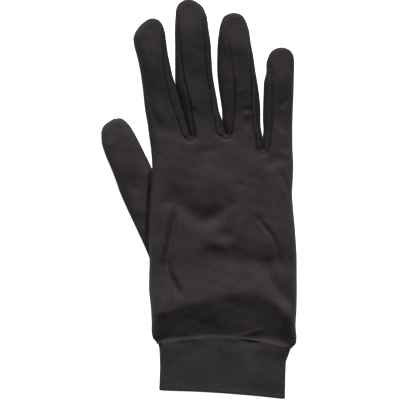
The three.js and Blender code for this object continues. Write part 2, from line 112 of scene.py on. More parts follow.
# How far up from each crotch the two fingers lie pressed together, how slowly they part, and the
# stretch right above the crotch in which the pressing sets in
TOUCHES = (31, 7, 6.5)
PARTING = 9
TOUCH_START = (0.1, 1.2)

# Each finger from root to tip: along as a share of its length, then its left and right edge and the
# distance of the left and right seam in from them, as shares of half its width at the root
FINGERS = {
    "index": (9.9, [
        [0, -1, 1, 0, 0.27], [0.13, -0.96, 0.83, 0, 0.36], [0.27, -0.955, 0.75, 0, 0.41],
        [0.42, -0.9, 0.65, 0, 0.36], [0.56, -0.87, 0.62, 0, 0.28], [0.69, -0.89, 0.59, 0, 0.19],
        [0.8, -0.945, 0.61, 0, 0.13], [0.87, -0.91, 0.63, 0, 0.08], [0.93, -0.67, 0.58, 0, 0],
        [0.978, -0.31, 0.41, 0, 0], [1, 0.08, 0.08, 0, 0],
    ]),
    "middle": (7.9, [
        [0, -1, 1, 0.25, 0.34], [0.13, -1.1, 0.81, 0.36, 0.36], [0.27, -1.27, 0.76, 0.52, 0.27],
        [0.42, -1.42, 0.72, 0.53, 0.29], [0.55, -1.32, 0.78, 0.37, 0.29], [0.66, -1.2, 0.85, 0.28, 0.31],
        [0.77, -1.09, 0.84, 0.23, 0.23], [0.87, -0.95, 0.82, 0.12, 0.1], [0.93, -0.86, 0.68, 0, 0],
        [0.978, -0.62, 0.31, 0, 0], [1, -0.1, -0.1, 0, 0],
    ]),
    "ring": (4.8, [
        [0, -1, 1, 0.3, 0.26], [0.13, -1.03, 0.97, 0.53, 0.4], [0.27, -1.08, 1.04, 0.74, 0.47],
        [0.42, -1.15, 1.01, 0.87, 0.33], [0.55, -1.17, 0.93, 0.86, 0.22],
        [0.66, -1.11, 0.87, 0.77, 0.15], [0.77, -1.02, 0.8, 0.58, 0.12], [0.86, -0.89, 0.77, 0.3, 0.09],
        [0.93, -0.74, 0.64, 0, 0], [0.98, -0.52, 0.42, 0, 0], [1, -0.04, -0.04, 0, 0],
    ]),
    "little": (-1.8, [
        [0, -1, 1, 0.34, 0], [0.13, -0.93, 0.96, 0.47, 0], [0.27, -1.04, 0.93, 0.56, 0],
        [0.42, -1.07, 0.93, 0.56, 0], [0.55, -1.07, 0.94, 0.53, 0], [0.66, -1.06, 0.935, 0.49, 0],
        [0.75, -0.93, 0.93, 0.34, 0], [0.84, -0.93, 0.93, 0.2, 0], [0.92, -0.78, 0.86, 0, 0],
        [0.975, -0.49, 0.6, 0, 0], [1, 0.07, 0.07, 0, 0],
    ]),
}
TIP_ROW = 10

# The thumb's closed sections from crotch to tip: along, left and right edge
THUMB_LEAN = 23
THUMB_ROOT = (-0.798, 0.513)
THUMB_ROWS = [
    [0.56, -1.2, 0.9], [0.66, -1.18, 0.87], [0.76, -1.18, 0.83], [0.85, -1.13, 0.77],
    [0.905, -1.01, 0.7], [0.95, -0.86, 0.58], [0.982, -0.6, 0.41], [1, 0, 0],
]

# The thumb's outer side where it opens into the hand: across and along, one place for each hole row
THUMB_FLARE = [
    (-1.02, 0.437), (-1.083, 0.489), (-1.17, 0.555), (-1.27, 0.63), (-1.348, 0.69), (-1.417, 0.747),
]
THUMB_HEEL = {"across": -0.998, "along": 0.415, "upper": -0.968, "lower": -0.937}

# Where the back's left side lifts over the thumb and sinks again, as shares of the hand's length
LIFT_UP = (0.3, 0.41)
LIFT_DOWN = (0.85, 0.96)

# The cuff's sides from the seam to the hem: along, left and right
CUFF_ROWS = np.array([
    [0, -1.024, 1.1], [0.12, -1.006, 1.068], [0.28, -1, 1.02], [0.52, -0.992, 1.012], [0.76, -1, 1.01],
    [1, -1.01, 1.006],
])
HEM = {"left": -0.92, "right": -1.095}

# How high the back lies up the middle of the hand: distance from the cuff seam and height
LOFT = np.array([
    [-6, 7.6], [5, 7.4], [34.3, 14.3], [44, 12.2], [52, 11.5], [62, 12.2], [84, 12.5], [108, 12.2],
    [120, 11.4], [134, 10], [146, 9.6], [200, 12], [260, 13],
])
LOFT_SOFTNESS = 1.7
LOFT_STEP = 0.25
KERNEL_REACH = 4
CREST_PLACE = 34.3
VALLEY_PLACE = 52

# Where the crest near the cuff runs, from the thumb's side to the little finger's
CREST_LINE = [
    (-46, 19), (-36, 21.8), (-26.4, 24.9), (-13.9, 28), (-4.5, 30.6), (8.1, 32.8), (17.5, 33.4),
    (25, 31.2), (33.2, 26.2), (39.4, 20.5), (46, 15),
]

# The back's folds: path from point to point, spread to the left and to the right of its way, and rise,
# which is negative in a groove
FOLDS = {
    "cuff tuck": ([(5, 5.5), (13, 6.3), (19, 8), (24, 9.8), (29, 11.5)], 1.3, 2.1, 0.55),
    "wrist valley": (
        [(-20, 58.5), (-11, 57), (-3, 55.5), (8, 53), (20, 51), (30, 49.5), (38, 48)], 6.5, 7, -1.05,
    ),
    "wrist groove": (
        [(20, 55.5), (24, 51.5), (27.3, 47), (30.5, 40), (35, 33.4), (40, 28), (47, 21)],
        4.5, 2.8, -1.8,
    ),
    "wrist ridge": ([(11, 52.5), (18, 47), (25, 40), (29.5, 32)], 1.8, 3.5, 0.4),
    "side crease": ([(18, 84), (26, 74.5), (30.5, 69), (33.5, 62), (36, 52), (38.5, 43)], 1.6, 1.5, -0.9),
    "side crease edge": ([(23, 81), (29.5, 74), (34, 67.5), (36.5, 60)], 2.5, 2, 0.35),
    "middle slope": ([(16, 84), (13, 77.5), (10, 70), (7.5, 63.5)], 4.5, 2.2, 0.7),
    "thumb crease": (
        [(-28.5, 90), (-29.5, 81), (-30.9, 72.5), (-32.8, 63), (-34.5, 53.6), (-33.6, 46),
         (-31, 40), (-28.4, 34.7), (-24, 28)],
        2.3, 2.8, -2.7,
    ),
    "hollow": (
        [(-42, 91.5), (-36, 91), (-30.5, 89.8), (-26, 87.3), (-22, 84), (-17.5, 80.3), (-12.5, 78),
         (-7.5, 78.6), (-3, 82), (2, 85.5)],
        8.5, 4.6, -3.2,
    ),
    "hollow arm": ([(-9, 78.8), (-4, 81), (2, 85), (8, 88.3), (14, 91)], 4, 2.4, -0.7),
    "crease bend": ([(-39, 50.5), (-34.5, 49.5), (-30, 50)], 3.6, 2.5, -0.5),
    "hollow brow": ([(-37, 103), (-23, 101), (-13, 97), (-5, 92)], 6, 4, 0.4),
    "middle groove": ([(-4, 73), (0, 70), (6, 68.5), (11, 68)], 4, 3, -0.9),
    "middle ridge": ([(-14, 67), (-8, 65), (-1, 62.5), (8, 61.5)], 3.2, 3, 0.9),
    "index root ridge": ([(-49, 128.5), (-38, 129.5), (-30, 128), (-23, 126)], 5, 9, 0.9),
    "knuckle groove": ([(-18, 122), (-8, 121.3), (0, 122.5), (6, 124)], 2.8, 3, -0.6),
    "knuckle band": ([(-30, 126.5), (-18, 126), (-5, 126)], 2, 4, 0.3),
    "little root hollow": ([(23, 118.5), (30, 114.5), (36, 116), (41, 120)], 4.5, 3.5, -1.2),
    "little root groove": ([(35.5, 112), (38, 105), (40.5, 99), (43, 93)], 1.8, 1.8, -0.9),
    "heel dent": ([(-37, 22), (-31, 25), (-26, 29)], 3, 3, -0.5),
    "edge dent": ([(-45, 30), (-40, 25), (-36, 20.5)], 2.5, 2.5, -0.5),
    "index hollow": ([(-34, 113), (-29, 105), (-25, 97)], 6, 6, -0.5),
    "ring dent": ([(11, 103), (14, 98)], 2.2, 2.2, -0.45),
    "index long groove": (
        [(-51, 179), (-48, 170), (-46, 161), (-45.3, 151), (-43, 143.5), (-39, 137.3), (-34, 132.5)],
        1.8, 3.6, -1.2,
    ),
    "index ridge": ([(-44, 158), (-41, 148), (-38, 141)], 3, 2.5, 0.35),
    "index tip ridge": ([(-47, 181), (-43.5, 174), (-42, 168)], 3, 2.5, 0.4),
    "middle ridge line": ([(-23, 160), (-16.5, 149.5), (-10.5, 141.5)], 2.6, 1.8, 0.7),
    "ring blob": ([(15, 144.5), (15.5, 139.5), (14.5, 134)], 2.2, 2, -1.1),
    "ring cross groove": ([(10.5, 146), (15, 147), (20, 146)], 2.2, 1.4, -0.7),
    "ring arch": ([(10.5, 155), (14.5, 160.5), (18.5, 155)], 2, 2, 0.45),
    "little slant": ([(41.5, 156), (38.5, 151.5), (35.5, 147.5)], 1.6, 1.6, -0.7),
    "little ridge": ([(31, 139.5), (36, 133), (41, 128)], 2.8, 2.5, 0.7),
    "little root dent": ([(34, 122.5), (38, 123), (43, 121.5)], 2.5, 2.5, -0.5),
}
THUMB_FOLDS = {
    "thumb middle dent": ([(-72, 122), (-66, 120), (-60, 119)], 6, 5, -0.9),
    "thumb base dent": ([(-58, 108), (-56, 100), (-53, 92)], 3.5, 3.5, -0.8),
    "thumb root dent": ([(-56, 84), (-52, 78), (-50, 72)], 3, 3, -0.6),
}
CUFF_FOLDS = {
    "left swell": ([(-54, -4), (-44, -3.4), (-36, -2.6), (-22, -1)], 5, 6, 1.5),
    "right swell": ([(18, 0.5), (32, -2), (42, -4), (54, -6)], 5.5, 4, 0.8),
}
PALM_FOLDS = {
    "life line": ([(-40, 110), (-20, 98), (-6, 70), (-4, 36)], 4, 4, 0.5),
    "heart line": ([(42, 96), (20, 104), (-2, 108), (-16, 118)], 4, 4, 0.5),
}

# Each fold fades over this length, or over this share of a short one, and towards the cloth's edges
FOLD_END = 12
FOLD_END_SHARE = 0.4
FOLD_DEPTHS = (0.3, 4.5)
LINE_STEPS = 6

# The left side seam, drawn up on to the back by the thumb
SIDE_SEAM = [
    (-44.4, 99), (-42.6, 91), (-41.2, 84), (-40.5, 77),
    (-40.8, 70), (-42, 61), (-42.8, 51), (-43.2, 41),
]

# Rounded seam edges: each edge rolls up beside the seam and dips into it
WELT = {"rise": 0.35, "place": 1.6, "spread": 0.75, "dip": 0.7, "dip_spread": 0.8}
CUFF_WELT = {"rise": 0.8, "place": 0.0, "spread": 1.3, "dip": 0.0, "dip_spread": 1}
SIDE_SEAM_END = 4
SIDE_SEAM_WELT = {"rise": 0.2, "place": 0.9, "spread": 0.5, "dip": 0.4, "dip_spread": 0.45}

# The seams between the fingers are flatter towards the fingertips
SEAM_FADE = {"end": 3, "reach": 48, "least": 0.3}

# Puckers along the seams: wavelengths, depth and how far they reach in
PUCKER_WAVES = (2.9, 4.7)
PUCKER_RISE = 0.07
PUCKER_REACH = 2.6

# Soft waves all over the cloth: count, shortest and longest wave, and height of each
WAVES = [(14, 16, 34, 0.07), (16, 6, 12, 0.018)]
WAVE_SEED = 11

# Mesh steps, with the lengths that count as none, the rounding for welds and the angle of a sharp edge
HAND_STEPS = 9
FINGER_STEPS = 10
BEND_STEPS = 5
FINGER_COLUMNS = 36
CROWDING = 0.72
CUFF_SEAM_POINTS = 120
SIDE_COLUMNS = 12
SIDE_CROWDING = 0.6
THUMB_STEPS = 12
THUMB_UPPER_COLUMNS = 44
THUMB_LOWER_COLUMNS = 26
THUMB_CROWDING = 0.8
MEASURE_CHUNK = 1500
LEAST_LENGTH = 1e-9
LEAST_SQUARE = 1e-12
WELD_DECIMALS = 4
SHARP_EDGE = 60


def lerp(start, end, share):
    return start + (end - start) * share


def ease(value, low, high):
    share = np.clip((value - low) / (high - low), 0, 1)
    return share * share * (3 - 2 * share)


def unit(vectors):
    length = np.linalg.norm(vectors, axis=-1, keepdims=True)
    return vectors / np.maximum(length, LEAST_LENGTH)


def crowded_shares(steps, crowding=1.0):
    """Shares from 0 to 1 that crowd at both ends."""
    even = np.linspace(0, 1, steps + 1)
    return lerp(even, (1 - np.cos(np.pi * even)) / 2, crowding)


def hand_point(across, along):
    return np.array([across * HALF_HAND, along * HAND_LENGTH])


def smooth_line(points, steps):
    """A smooth line through the points, without overshoot, with the given steps from each to the next."""
    points = np.asarray(points, float)
    ends = 2 * points[0] - points[1], 2 * points[-1] - points[-2]
    ring = np.vstack([ends[0], points, ends[1]])
    gaps = np.sqrt(np.linalg.norm(np.diff(ring[:, :2], axis=0), axis=1))
    knots = np.concatenate([[0], np.cumsum(gaps)])
    line = []
    for i in range(1, len(ring) - 2):
        a, b, c, d = knots[i - 1:i + 3]
        count = steps if np.isscalar(steps) else steps[i - 1]
        t = lerp(b, c, np.arange(count)[:, None] / count)
        first = lerp(ring[i - 1], ring[i], (t - a) / (b - a))
        second = lerp(ring[i], ring[i + 1], (t - b) / (c - b))
        third = lerp(ring[i + 1], ring[i + 2], (t - c) / (d - c))
        line.append(lerp(lerp(first, second, (t - a) / (c - a)), lerp(second, third, (t - b) / (d - b)),
                         (t - b) / (c - b)))
    return np.vstack([*line, points[-1:]])


def measure_from(line, points):
    """Distance from a line, the unit way from it, the place along it and the side, +1 to its left."""
    flat = points.reshape(-1, 2)
    starts, ways = line[:-1], np.diff(line, axis=0)
    squares = np.maximum((ways ** 2).sum(1), LEAST_SQUARE)
    lengths = np.concatenate([[0], np.cumsum(np.sqrt(squares))])
    distance, along, side = (np.empty(len(flat)) for _ in range(3))
    away = np.empty((len(flat), 2))
    for first in range(0, len(flat), MEASURE_CHUNK):
        part = slice(first, first + MEASURE_CHUNK)
        to_start = flat[part, None, :] - starts[None]
        share = np.clip((to_start * ways).sum(2) / squares, 0, 1)
        reach = to_start - share[..., None] * ways
        far = (reach ** 2).sum(2)
        nearest = far.argmin(1)
        row = np.arange(len(nearest))
        distance[part] = np.sqrt(far[row, nearest])
        away[part] = reach[row, nearest]
        along[part] = lengths[nearest] + share[row, nearest] * np.sqrt(squares[nearest])
        way = ways[nearest]
        side[part] = np.sign(way[:, 0] * away[part][:, 1] - way[:, 1] * away[part][:, 0])
    shape = points.shape[:-1]
    return (distance.reshape(shape), unit(away).reshape(points.shape), along.reshape(shape),
            side.reshape(shape))


# The hand's plan


def plan_finger(name, left_root, right_root):
    """A finger's left and right side from root to tip, each row x, y and the seam's distance in."""
    lean, rows = FINGERS[name]
    rows = np.array(rows)
    root = (left_root + right_root) / 2
    half = (right_root[0] - left_root[0]) / 2
    turn = math.radians(lean)
    axis = np.array([-math.sin(turn), math.cos(turn)])
    side = np.array([axis[1], -axis[0]])
    along = rows[:, :1] * FINGER_LENGTHS[name]
    left = root + along * axis + rows[:, 1:2] * half * side
    right = root + along * axis + rows[:, 2:3] * half * side
    return np.column_stack([left, rows[:, 3] * half]), np.column_stack([right, rows[:, 4] * half])


def bend_crotch(crotch, left_seam, right_seam):
    """The bend at the bottom of the gap between two fingers."""
    stations = []
    for turn in map(math.radians, CROTCH_TURNS):
        inward = np.array([math.cos(turn), math.sin(turn)])
        side_seam = left_seam if inward[0] < 0 else right_seam
        point = crotch + inward * FINGER_GAP / 2
        stations.append([*point, lerp(side_seam, CROTCH_SEAM, inward[1] ** 2)])
    return np.array(stations)


def plan_hand():
    """The hand's whole outline as a fine line of x, y and seam, and where each part of it starts."""
    no_seam = np.zeros(len(HAND_ROWS))
    left_side, right_side = (
        np.column_stack([HAND_ROWS[:, across] * HALF_HAND, HAND_ROWS[:, along] * HAND_LENGTH, no_seam])
        for along, across in ((0, 1), (2, 3)))
    crotches = [hand_point(*place) for place in CROTCHES]
    roots = [left_side[-1, :2], *crotches, right_side[-1, :2]]
    half_gap = np.array([FINGER_GAP / 2, 0])
    sides = []
    for i, name in enumerate(FINGERS):
        left, right = plan_finger(name, roots[i], roots[i + 1])
        left[0, :2] = roots[i] + (half_gap if i > 0 else 0)
        right[0, :2] = roots[i + 1] - (half_gap if i < len(FINGERS) - 1 else 0)
        sides.append((left, right))
    stations, steps, starts = list(left_side[:-1]), [HAND_STEPS] * (len(left_side) - 1), {}
    for i, (left, right) in enumerate(sides):
        starts["left", i] = len(stations)
        stations += list(left)
        starts["tip", i] = len(stations) - 1
        stations += list(right[-2::-1])
        starts["right", i] = len(stations) - 1
        steps += [FINGER_STEPS] * (2 * TIP_ROW)
        if i < len(crotches):
            bend = bend_crotch(crotches[i], right[0, 2], sides[i + 1][0][0, 2])
            stations += list(bend)
            steps += [BEND_STEPS] * (len(bend) + 1)
    stations += list(right_side[-2::-1])
    steps += [HAND_STEPS] * (len(right_side) - 1)
    line = smooth_line(stations, steps)
    places = np.concatenate([[0], np.cumsum(steps)])
    return line, {key: places[value] for key, value in starts.items()}


def press_together(near, far, touch):
    """Two neighbouring fingers lie against each other above their crotch and part further up."""
    near_y = np.maximum.accumulate(near[:, 1])
    far_y = np.maximum.accumulate(far[:, 1])
    near_gap = np.interp(near_y, far_y, far[:, 0]) - near[:, 0] + TOUCH_OVERLAP
    far_gap = far[:, 0] - np.interp(far_y, near_y, near[:, 0]) + TOUCH_OVERLAP
    for side, height, gap, way in ((near, near_y, near_gap, 1), (far, far_y, far_gap, -1)):
        above = height - height[0]
        pressed = 1 - ease(above, touch, touch + PARTING)
        moved = np.where(gap < 0, gap, gap * pressed) / 2
        side[:, 0] += way * moved * ease(above, *TOUCH_START)


def outward_of(line):
    """The unit way out from a line that has the cloth on its right."""
    way = np.gradient(line[:, :2], axis=0)
    return unit(np.column_stack([-way[:, 1], way[:, 0]]))


outline, places = plan_hand()
finger_count = len(FINGERS)
for i in range(finger_count - 1):
    near = outline[places["tip", i]:places["right", i] + 1][::-1]
    far = outline[places["left", i + 1]:places["tip", i + 1] + 1]
    press_together(near, far, TOUCHES[i])
outline[:, 2] = np.where(outline[:, 2] < LEAST_SEAM, 0, outline[:, 2])
outward = outward_of(outline)
upper_seam = outline[:, 2]
lower_seam = np.minimum(outline[:, 2], PALM_SEAM)
left_part = slice(0, places["left", 0] + 1)
right_part = slice(places["right", finger_count - 1], len(outline))
hand_left, hand_right = outline[left_part], outline[right_part][::-1]


def cuff_seam_y(across):
    """Where the panels meet the cuff, arched towards the hand."""
    share = np.clip((across - hand_left[0, 0]) / (hand_right[0, 0] - hand_left[0, 0]), 0, 1)
    return lerp(hand_left[0, 1], hand_right[0, 1], share) + SEAM_ARCH * 4 * share * (1 - share)


cuff_seam_x = np.linspace(hand_left[0, 0], hand_right[0, 0], CUFF_SEAM_POINTS)
cuff_seam_line = np.column_stack([cuff_seam_x, cuff_seam_y(cuff_seam_x)])

# Heights
finger_tips = np.array([outline[places["tip", i], :2] for i in range(finger_count)])


def tip_share(points, tips):
    """From 0 at a tip to 1 where its taper ends."""
    shares = [ease(np.linalg.norm(points - tip, axis=-1), *TIP_TAPER) for tip in tips]
    return np.minimum.reduce(shares)


def back_roll(points):
    """How far in the back's rounded border reaches: less on the fingers, least at the tips."""
    body = lerp(HAND_ROLL, FINGER_ROLL, ease(points[..., 1] / HAND_LENGTH, *ROLL_FALL))
    return lerp(TIP_ROLL, body, tip_share(points, finger_tips))


def edge_height(points):
    along = points[..., 1] / HAND_LENGTH
    lifted = ease(along, *LIFT_UP) * (1 - ease(along, *LIFT_DOWN))
    over_thumb = lerp(SIDE_HEIGHT, EDGE_OVER_THUMB, lifted)
    return np.where(points[..., 0] < 0, over_thumb, SIDE_HEIGHT)


def make_loft():
    """The loft's straight slopes with their corners rounded."""
    fine = np.arange(LOFT[0, 0], LOFT[-1, 0], LOFT_STEP)
    heights = np.interp(fine, LOFT[:, 0], LOFT[:, 1])
    half = round(KERNEL_REACH * LOFT_SOFTNESS / LOFT_STEP)
    reach = np.arange(-half, half + 1) * LOFT_STEP
    kernel = np.exp(-(reach / LOFT_SOFTNESS) ** 2 / 2)
    padded = np.pad(heights, half, mode="edge")
    return fine, np.convolve(padded, kernel / kernel.sum(), mode="valid")


loft_places, loft_heights = make_loft()
crest_line = smooth_line(CREST_LINE, LINE_STEPS)
side_seam = smooth_line(SIDE_SEAM, LINE_STEPS)


def crest_height(points):
    """How high the back lies. Its crest near the cuff runs in an arc that is lower at both sides."""
    crest = np.interp(points[..., 0], crest_line[:, 0], crest_line[:, 1])
    below = points[..., 1] * CREST_PLACE / crest
    above = lerp(CREST_PLACE, VALLEY_PLACE, (points[..., 1] - crest) / (VALLEY_PLACE - crest))
    place = np.where(points[..., 1] < crest, below, above)
    place = np.where(points[..., 1] > VALLEY_PLACE, points[..., 1], place)
    hand = np.interp(place, loft_places, loft_heights)
    return lerp(TIP_HEIGHT, hand, tip_share(points, finger_tips))


def fold_height(points, folds):
    """The sum of all folds at some points."""
    height = np.zeros(points.shape[:-1])
    for path, left, right, rise in folds.values():
        line = smooth_line(path, LINE_STEPS)
        distance, _, along, side = measure_from(line, points)
        length = np.linalg.norm(np.diff(line, axis=0), axis=1).sum()
        end = min(FOLD_END, length * FOLD_END_SHARE)
        fade = ease(along, 0, end) * ease(length - along, 0, end)
        spread = np.where(side > 0, left, right)
        height += rise * fade * np.exp(-(distance / spread) ** 2)
    return height


def make_waves():
    """Random soft waves that are the same on each run."""
    random = np.random.default_rng(WAVE_SEED)
    waves = []
    for count, shortest, longest, rise in WAVES:
        for _ in range(count):
            turn = random.uniform(0, 2 * np.pi)
            length = random.uniform(shortest, longest)
            waves.append((math.cos(turn) / length, math.sin(turn) / length, random.uniform(0, 1), rise))
    return waves


waves = make_waves()


def wave_height(points):
    height = np.zeros(points.shape[:-1])
    for across, along, start, rise in waves:
        height += rise * np.sin(2 * np.pi * (points[..., 0] * across + points[..., 1] * along + start))
    return height


def welt_height(distance, welt):
    """A seam's rounded edge at some distance from the seam."""
    roll = welt["rise"] * np.exp(-((distance - welt["place"]) / welt["spread"]) ** 2)
    dip = welt["dip"] * np.exp(-(distance / welt["dip_spread"]) ** 2)
    return roll - dip


def pucker_height(distance, along):
    first, second = (np.sin(2 * np.pi * along / wave) for wave in PUCKER_WAVES)
    return PUCKER_RISE * (first + second) * np.exp(-(distance / PUCKER_REACH) ** 2)


def raise_wall(points, distance, inward, edge, crest, roll):
    """A wall that rolls up or down from its outline's height to its crest, and the way out from it."""
    depth = np.clip(distance / roll, 0, 1)
    rise = np.sqrt(depth * (2 - depth))
    surface = np.concatenate([points, lerp(edge, crest, rise)[..., None]], axis=-1)
    steepness = (np.abs(crest - edge) * (1 - depth))[..., None]
    facing = (np.sign(crest - edge) * roll * rise)[..., None]
    return surface, unit(np.concatenate([-inward * steepness, facing], axis=-1))


def lift_by(height):
    return np.concatenate([np.zeros((*height.shape, 2)), height[..., None]], axis=-1)


def back_surface(points, distance, inward):
    """The back at some points: the smooth surface with its folds, and the way out."""
    surface, out = raise_wall(points, distance, inward, edge_height(points), crest_height(points),
                              back_roll(points))
    held = ease(distance, *FOLD_DEPTHS)
    folds = fold_height(points, FOLDS) + fold_height(points, CUFF_FOLDS)
    return surface + lift_by((folds + wave_height(points)) * held), out


def palm_surface(points, distance, inward):
    surface, out = raise_wall(points, distance, inward, edge_height(points), np.zeros(distance.shape),
                              LOWER_ROLL)
    held = ease(distance, LOWER_ROLL, 2 * LOWER_ROLL)
    return surface + lift_by((fold_height(points, PALM_FOLDS) + np.abs(wave_height(points))) * held), out


# Meshes


class Cloth:
    """A knitted piece: rows of outer points with the same rows inside, welded, with closed rims."""

    def __init__(self):
        self.outer, self.inner, self.weave, self.faces, self.count = [], [], [], [], 0

    def grid(self, outer, inner, weave, flipped=False):
        rows, columns = outer.shape[:2]
        index = self.count + np.arange(rows * columns).reshape(rows, columns)
        corners = [index[:-1, :-1], index[:-1, 1:], index[1:, 1:], index[1:, :-1]]
        if flipped:
            corners.reverse()
        self.faces.append(np.stack(corners, axis=-1).reshape(-1, 4))
        self.outer.append(outer.reshape(-1, 3))
        self.inner.append(inner.reshape(-1, 3))
        self.weave.append(weave.reshape(-1, 2))
        self.count += rows * columns

    def build(self, name, material):
        outer, inner, weave = (np.vstack(part) for part in (self.outer, self.inner, self.weave))
        rounded = np.round(outer, WELD_DECIMALS)
        _, kept, welded = np.unique(rounded, axis=0, return_index=True, return_inverse=True)
        outer, inner, weave = outer[kept], inner[kept], weave[kept]
        count = len(outer)
        faces = []
        for face in welded.ravel()[np.vstack(self.faces)].tolist():
            ring = [corner for i, corner in enumerate(face) if corner != face[i - 1]]
            if len(ring) > 2 and len(set(ring)) == len(ring):
                faces.append(ring)
        edges = {(a, b) for ring in faces for a, b in zip(ring, ring[1:] + ring[:1])}
        inside = [[count + corner for corner in reversed(ring)] for ring in faces]
        rims = [[b, a, count + a, count + b] for a, b in edges if (b, a) not in edges]
        rims.sort()
        mesh = bpy.data.meshes.new(name)
        mesh.from_pydata((to_frame(np.vstack([outer, inner]))).tolist(), [], faces + inside + rims)
        return finish_mesh(mesh, name, np.vstack([weave, weave]), material)


def to_frame(points):
    """Millimetres in the glove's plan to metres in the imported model's frame."""
    return (points + placing) * MM


def place_object(name, data):
    """A new object in the scene, at the origin, unturned and unscaled."""
    placed = bpy.data.objects.new(name, data)
    bpy.context.scene.collection.objects.link(placed)
    return placed


def map_cloth(mesh, weave):
    """Writes each point's place in the cloth to the mesh's cloth map, in metres."""
    cloth_map = mesh.uv_layers.new(name="cloth")
    corners = np.empty(len(mesh.loops), int)
    mesh.loops.foreach_get("vertex_index", corners)
    cloth_map.data.foreach_set("uv", (weave[corners] * MM).astype(np.float32).ravel())


def finish_mesh(mesh, name, weave, material):
    mesh.validate()
    map_cloth(mesh, weave)
    mesh.shade_smooth()
    mesh.set_sharp_from_angle(angle=math.radians(SHARP_EDGE))
    mesh.materials.append(material)
    return place_object(name, mesh)


def find_placing():
    """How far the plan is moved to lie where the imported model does."""
    low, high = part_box("palm_panel")
    return np.array([high.x / MM - HAND_ROWS[:, 3].max() * HALF_HAND,
                     low.y / MM - HAND_ROWS[0, 2] * HAND_LENGTH, 0])


placing = find_placing()


def sewn_part(i):
    """The stretch of the outline along which a fourchette is sewn in."""
    first, last = places["tip", i], places["tip", i + 1]
    sewn = np.flatnonzero(upper_seam[first:last] > 0) + first
    return slice(sewn[0], sewn[-1] + 1)


def inset_line(seam):
    """The line of the panels' edges: the outline, moved in to the seam where there is one."""
    inset = np.where(seam > 0, seam + SEAM_GAP / 2, 0)
    return outline[:, :2] - outward * inset[:, None], inset


def finger_rows(edge_line, inset, i):
    """A finger's panel points, with the distance and way in from the outline at both edges."""
    left = slice(places["left", i], places["tip", i] + 1)
    right = slice(places["tip", i], places["right", i] + 1)
    shares = crowded_shares(FINGER_COLUMNS, CROWDING)
    starts, ends = edge_line[left], edge_line[right][::-1]
    points = lerp(starts[:, None], ends[:, None], shares[:, None])
    distance, inward, _, _ = measure_from(outline[:, :2], points)
    distance[:, 0], distance[:, -1] = inset[left], inset[right][::-1]
    inward[:, 0], inward[:, -1] = -outward[left], -outward[right][::-1]
    return points, distance, inward


def hand_rows(edge_line, left_edge):
    """The panel below the fingers: a patch between its sides, the cuff seam and the finger roots."""
    shares = crowded_shares(FINGER_COLUMNS, CROWDING)
    top = []
    for i in range(finger_count):
        start, end = edge_line[places["left", i]], edge_line[places["right", i]]
        top.append(lerp(start, end, shares[:, None]))
        if i < finger_count - 1:
            top.append(edge_line[places["right", i] + 1:places["left", i + 1]])
    top = np.vstack(top)
    right_edge = edge_line[right_part][::-1]
    first, last = top[0], top[-1]
    u = ((top[:, 0] - first[0]) / (last[0] - first[0]))[None, :, None]
    left_start, right_start = hand_left[0, :2], hand_right[0, :2]
    v = ((hand_left[:, 1] - left_start[1]) / (first[1] - left_start[1]))[:, None, None]
    bottom_x = lerp(left_start[0], right_start[0], u[0, :, 0])
    bottom = np.column_stack([bottom_x, cuff_seam_y(bottom_x)])[None]
    sideways = lerp(left_edge[:, None], right_edge[:, None], u)
    corners = lerp(lerp(left_start, right_start, u), lerp(first, last, u), v)
    points = lerp(bottom, top[None], v) + sideways - corners
    points[-1] = top
    points[:, 0], points[:, -1] = left_edge, right_edge
    distance, inward, _, _ = measure_from(outline[:, :2], points)
    distance[:, -1] = 0
    inward[:, -1] = -outward[right_part][::-1]
    on_outline = np.abs(left_edge - hand_left[:, :2]).max(axis=1) < 1e-6
    distance[on_outline, 0] = 0
    inward[on_outline, 0] = -outward[left_part][on_outline]
    return points, distance, inward


def finger_seam_height(distance, along, length):
    """A fourchette seam's rounded edge with its puckers, at some places along its length."""
    from_end = np.minimum(along, length - along)
    strength = lerp(SEAM_FADE["least"], 1, ease(from_end, 0, SEAM_FADE["reach"]))
    shape = welt_height(distance, WELT) + pucker_height(distance, along)
    return shape * strength * ease(from_end, 0, SEAM_FADE["end"])


def seam_shape(points, edge_line):
    """The rounded edges and puckers that the seams give a panel."""
    to_cuff, _, cuff_along, _ = measure_from(cuff_seam_line, points)
    shape = welt_height(to_cuff, CUFF_WELT) + pucker_height(to_cuff, cuff_along)
    for i in range(finger_count - 1):
        line = edge_line[sewn_part(i)]
        length = np.linalg.norm(np.diff(line, axis=0), axis=1).sum()
        distance, _, along, _ = measure_from(line, points)
        shape += finger_seam_height(distance, along, length)
    return shape


def make_panel(name, material, seam, left_edge, shape_cloth, flipped):
    """A panel from the fingers' rows and the hand's, each shaped to its outer and inner points."""
    edge_line, inset = inset_line(seam)
    cloth = Cloth()
    rows = [finger_rows(edge_line, inset, i) for i in range(finger_count)]
    for points, distance, inward in [*rows, hand_rows(edge_line, left_edge)]:
        outer, inner = shape_cloth(points, distance, inward, seam_shape(points, edge_line))
        cloth.grid(outer, inner, points, flipped)
    return cloth.build(name, material)


def shape_back(points, distance, inward, shape):
    surface, out = back_surface(points, distance, inward)
    to_side, _, side_along, _ = measure_from(side_seam, points)
    ends = ease(side_along, 0, SIDE_SEAM_END) * ease(side_along.max() - side_along, 0, SIDE_SEAM_END)
    shape = shape + welt_height(to_side, SIDE_SEAM_WELT) * ends
    return surface + out * shape[..., None], surface - out * CLOTH_WALL


def shape_palm(points, distance, inward, shape):
    surface, out = palm_surface(points, distance, inward)
    outer = surface + out * shape[..., None]
    outer[..., 2] = np.maximum(outer[..., 2], 0)
    return outer, surface - out * CLOTH_WALL


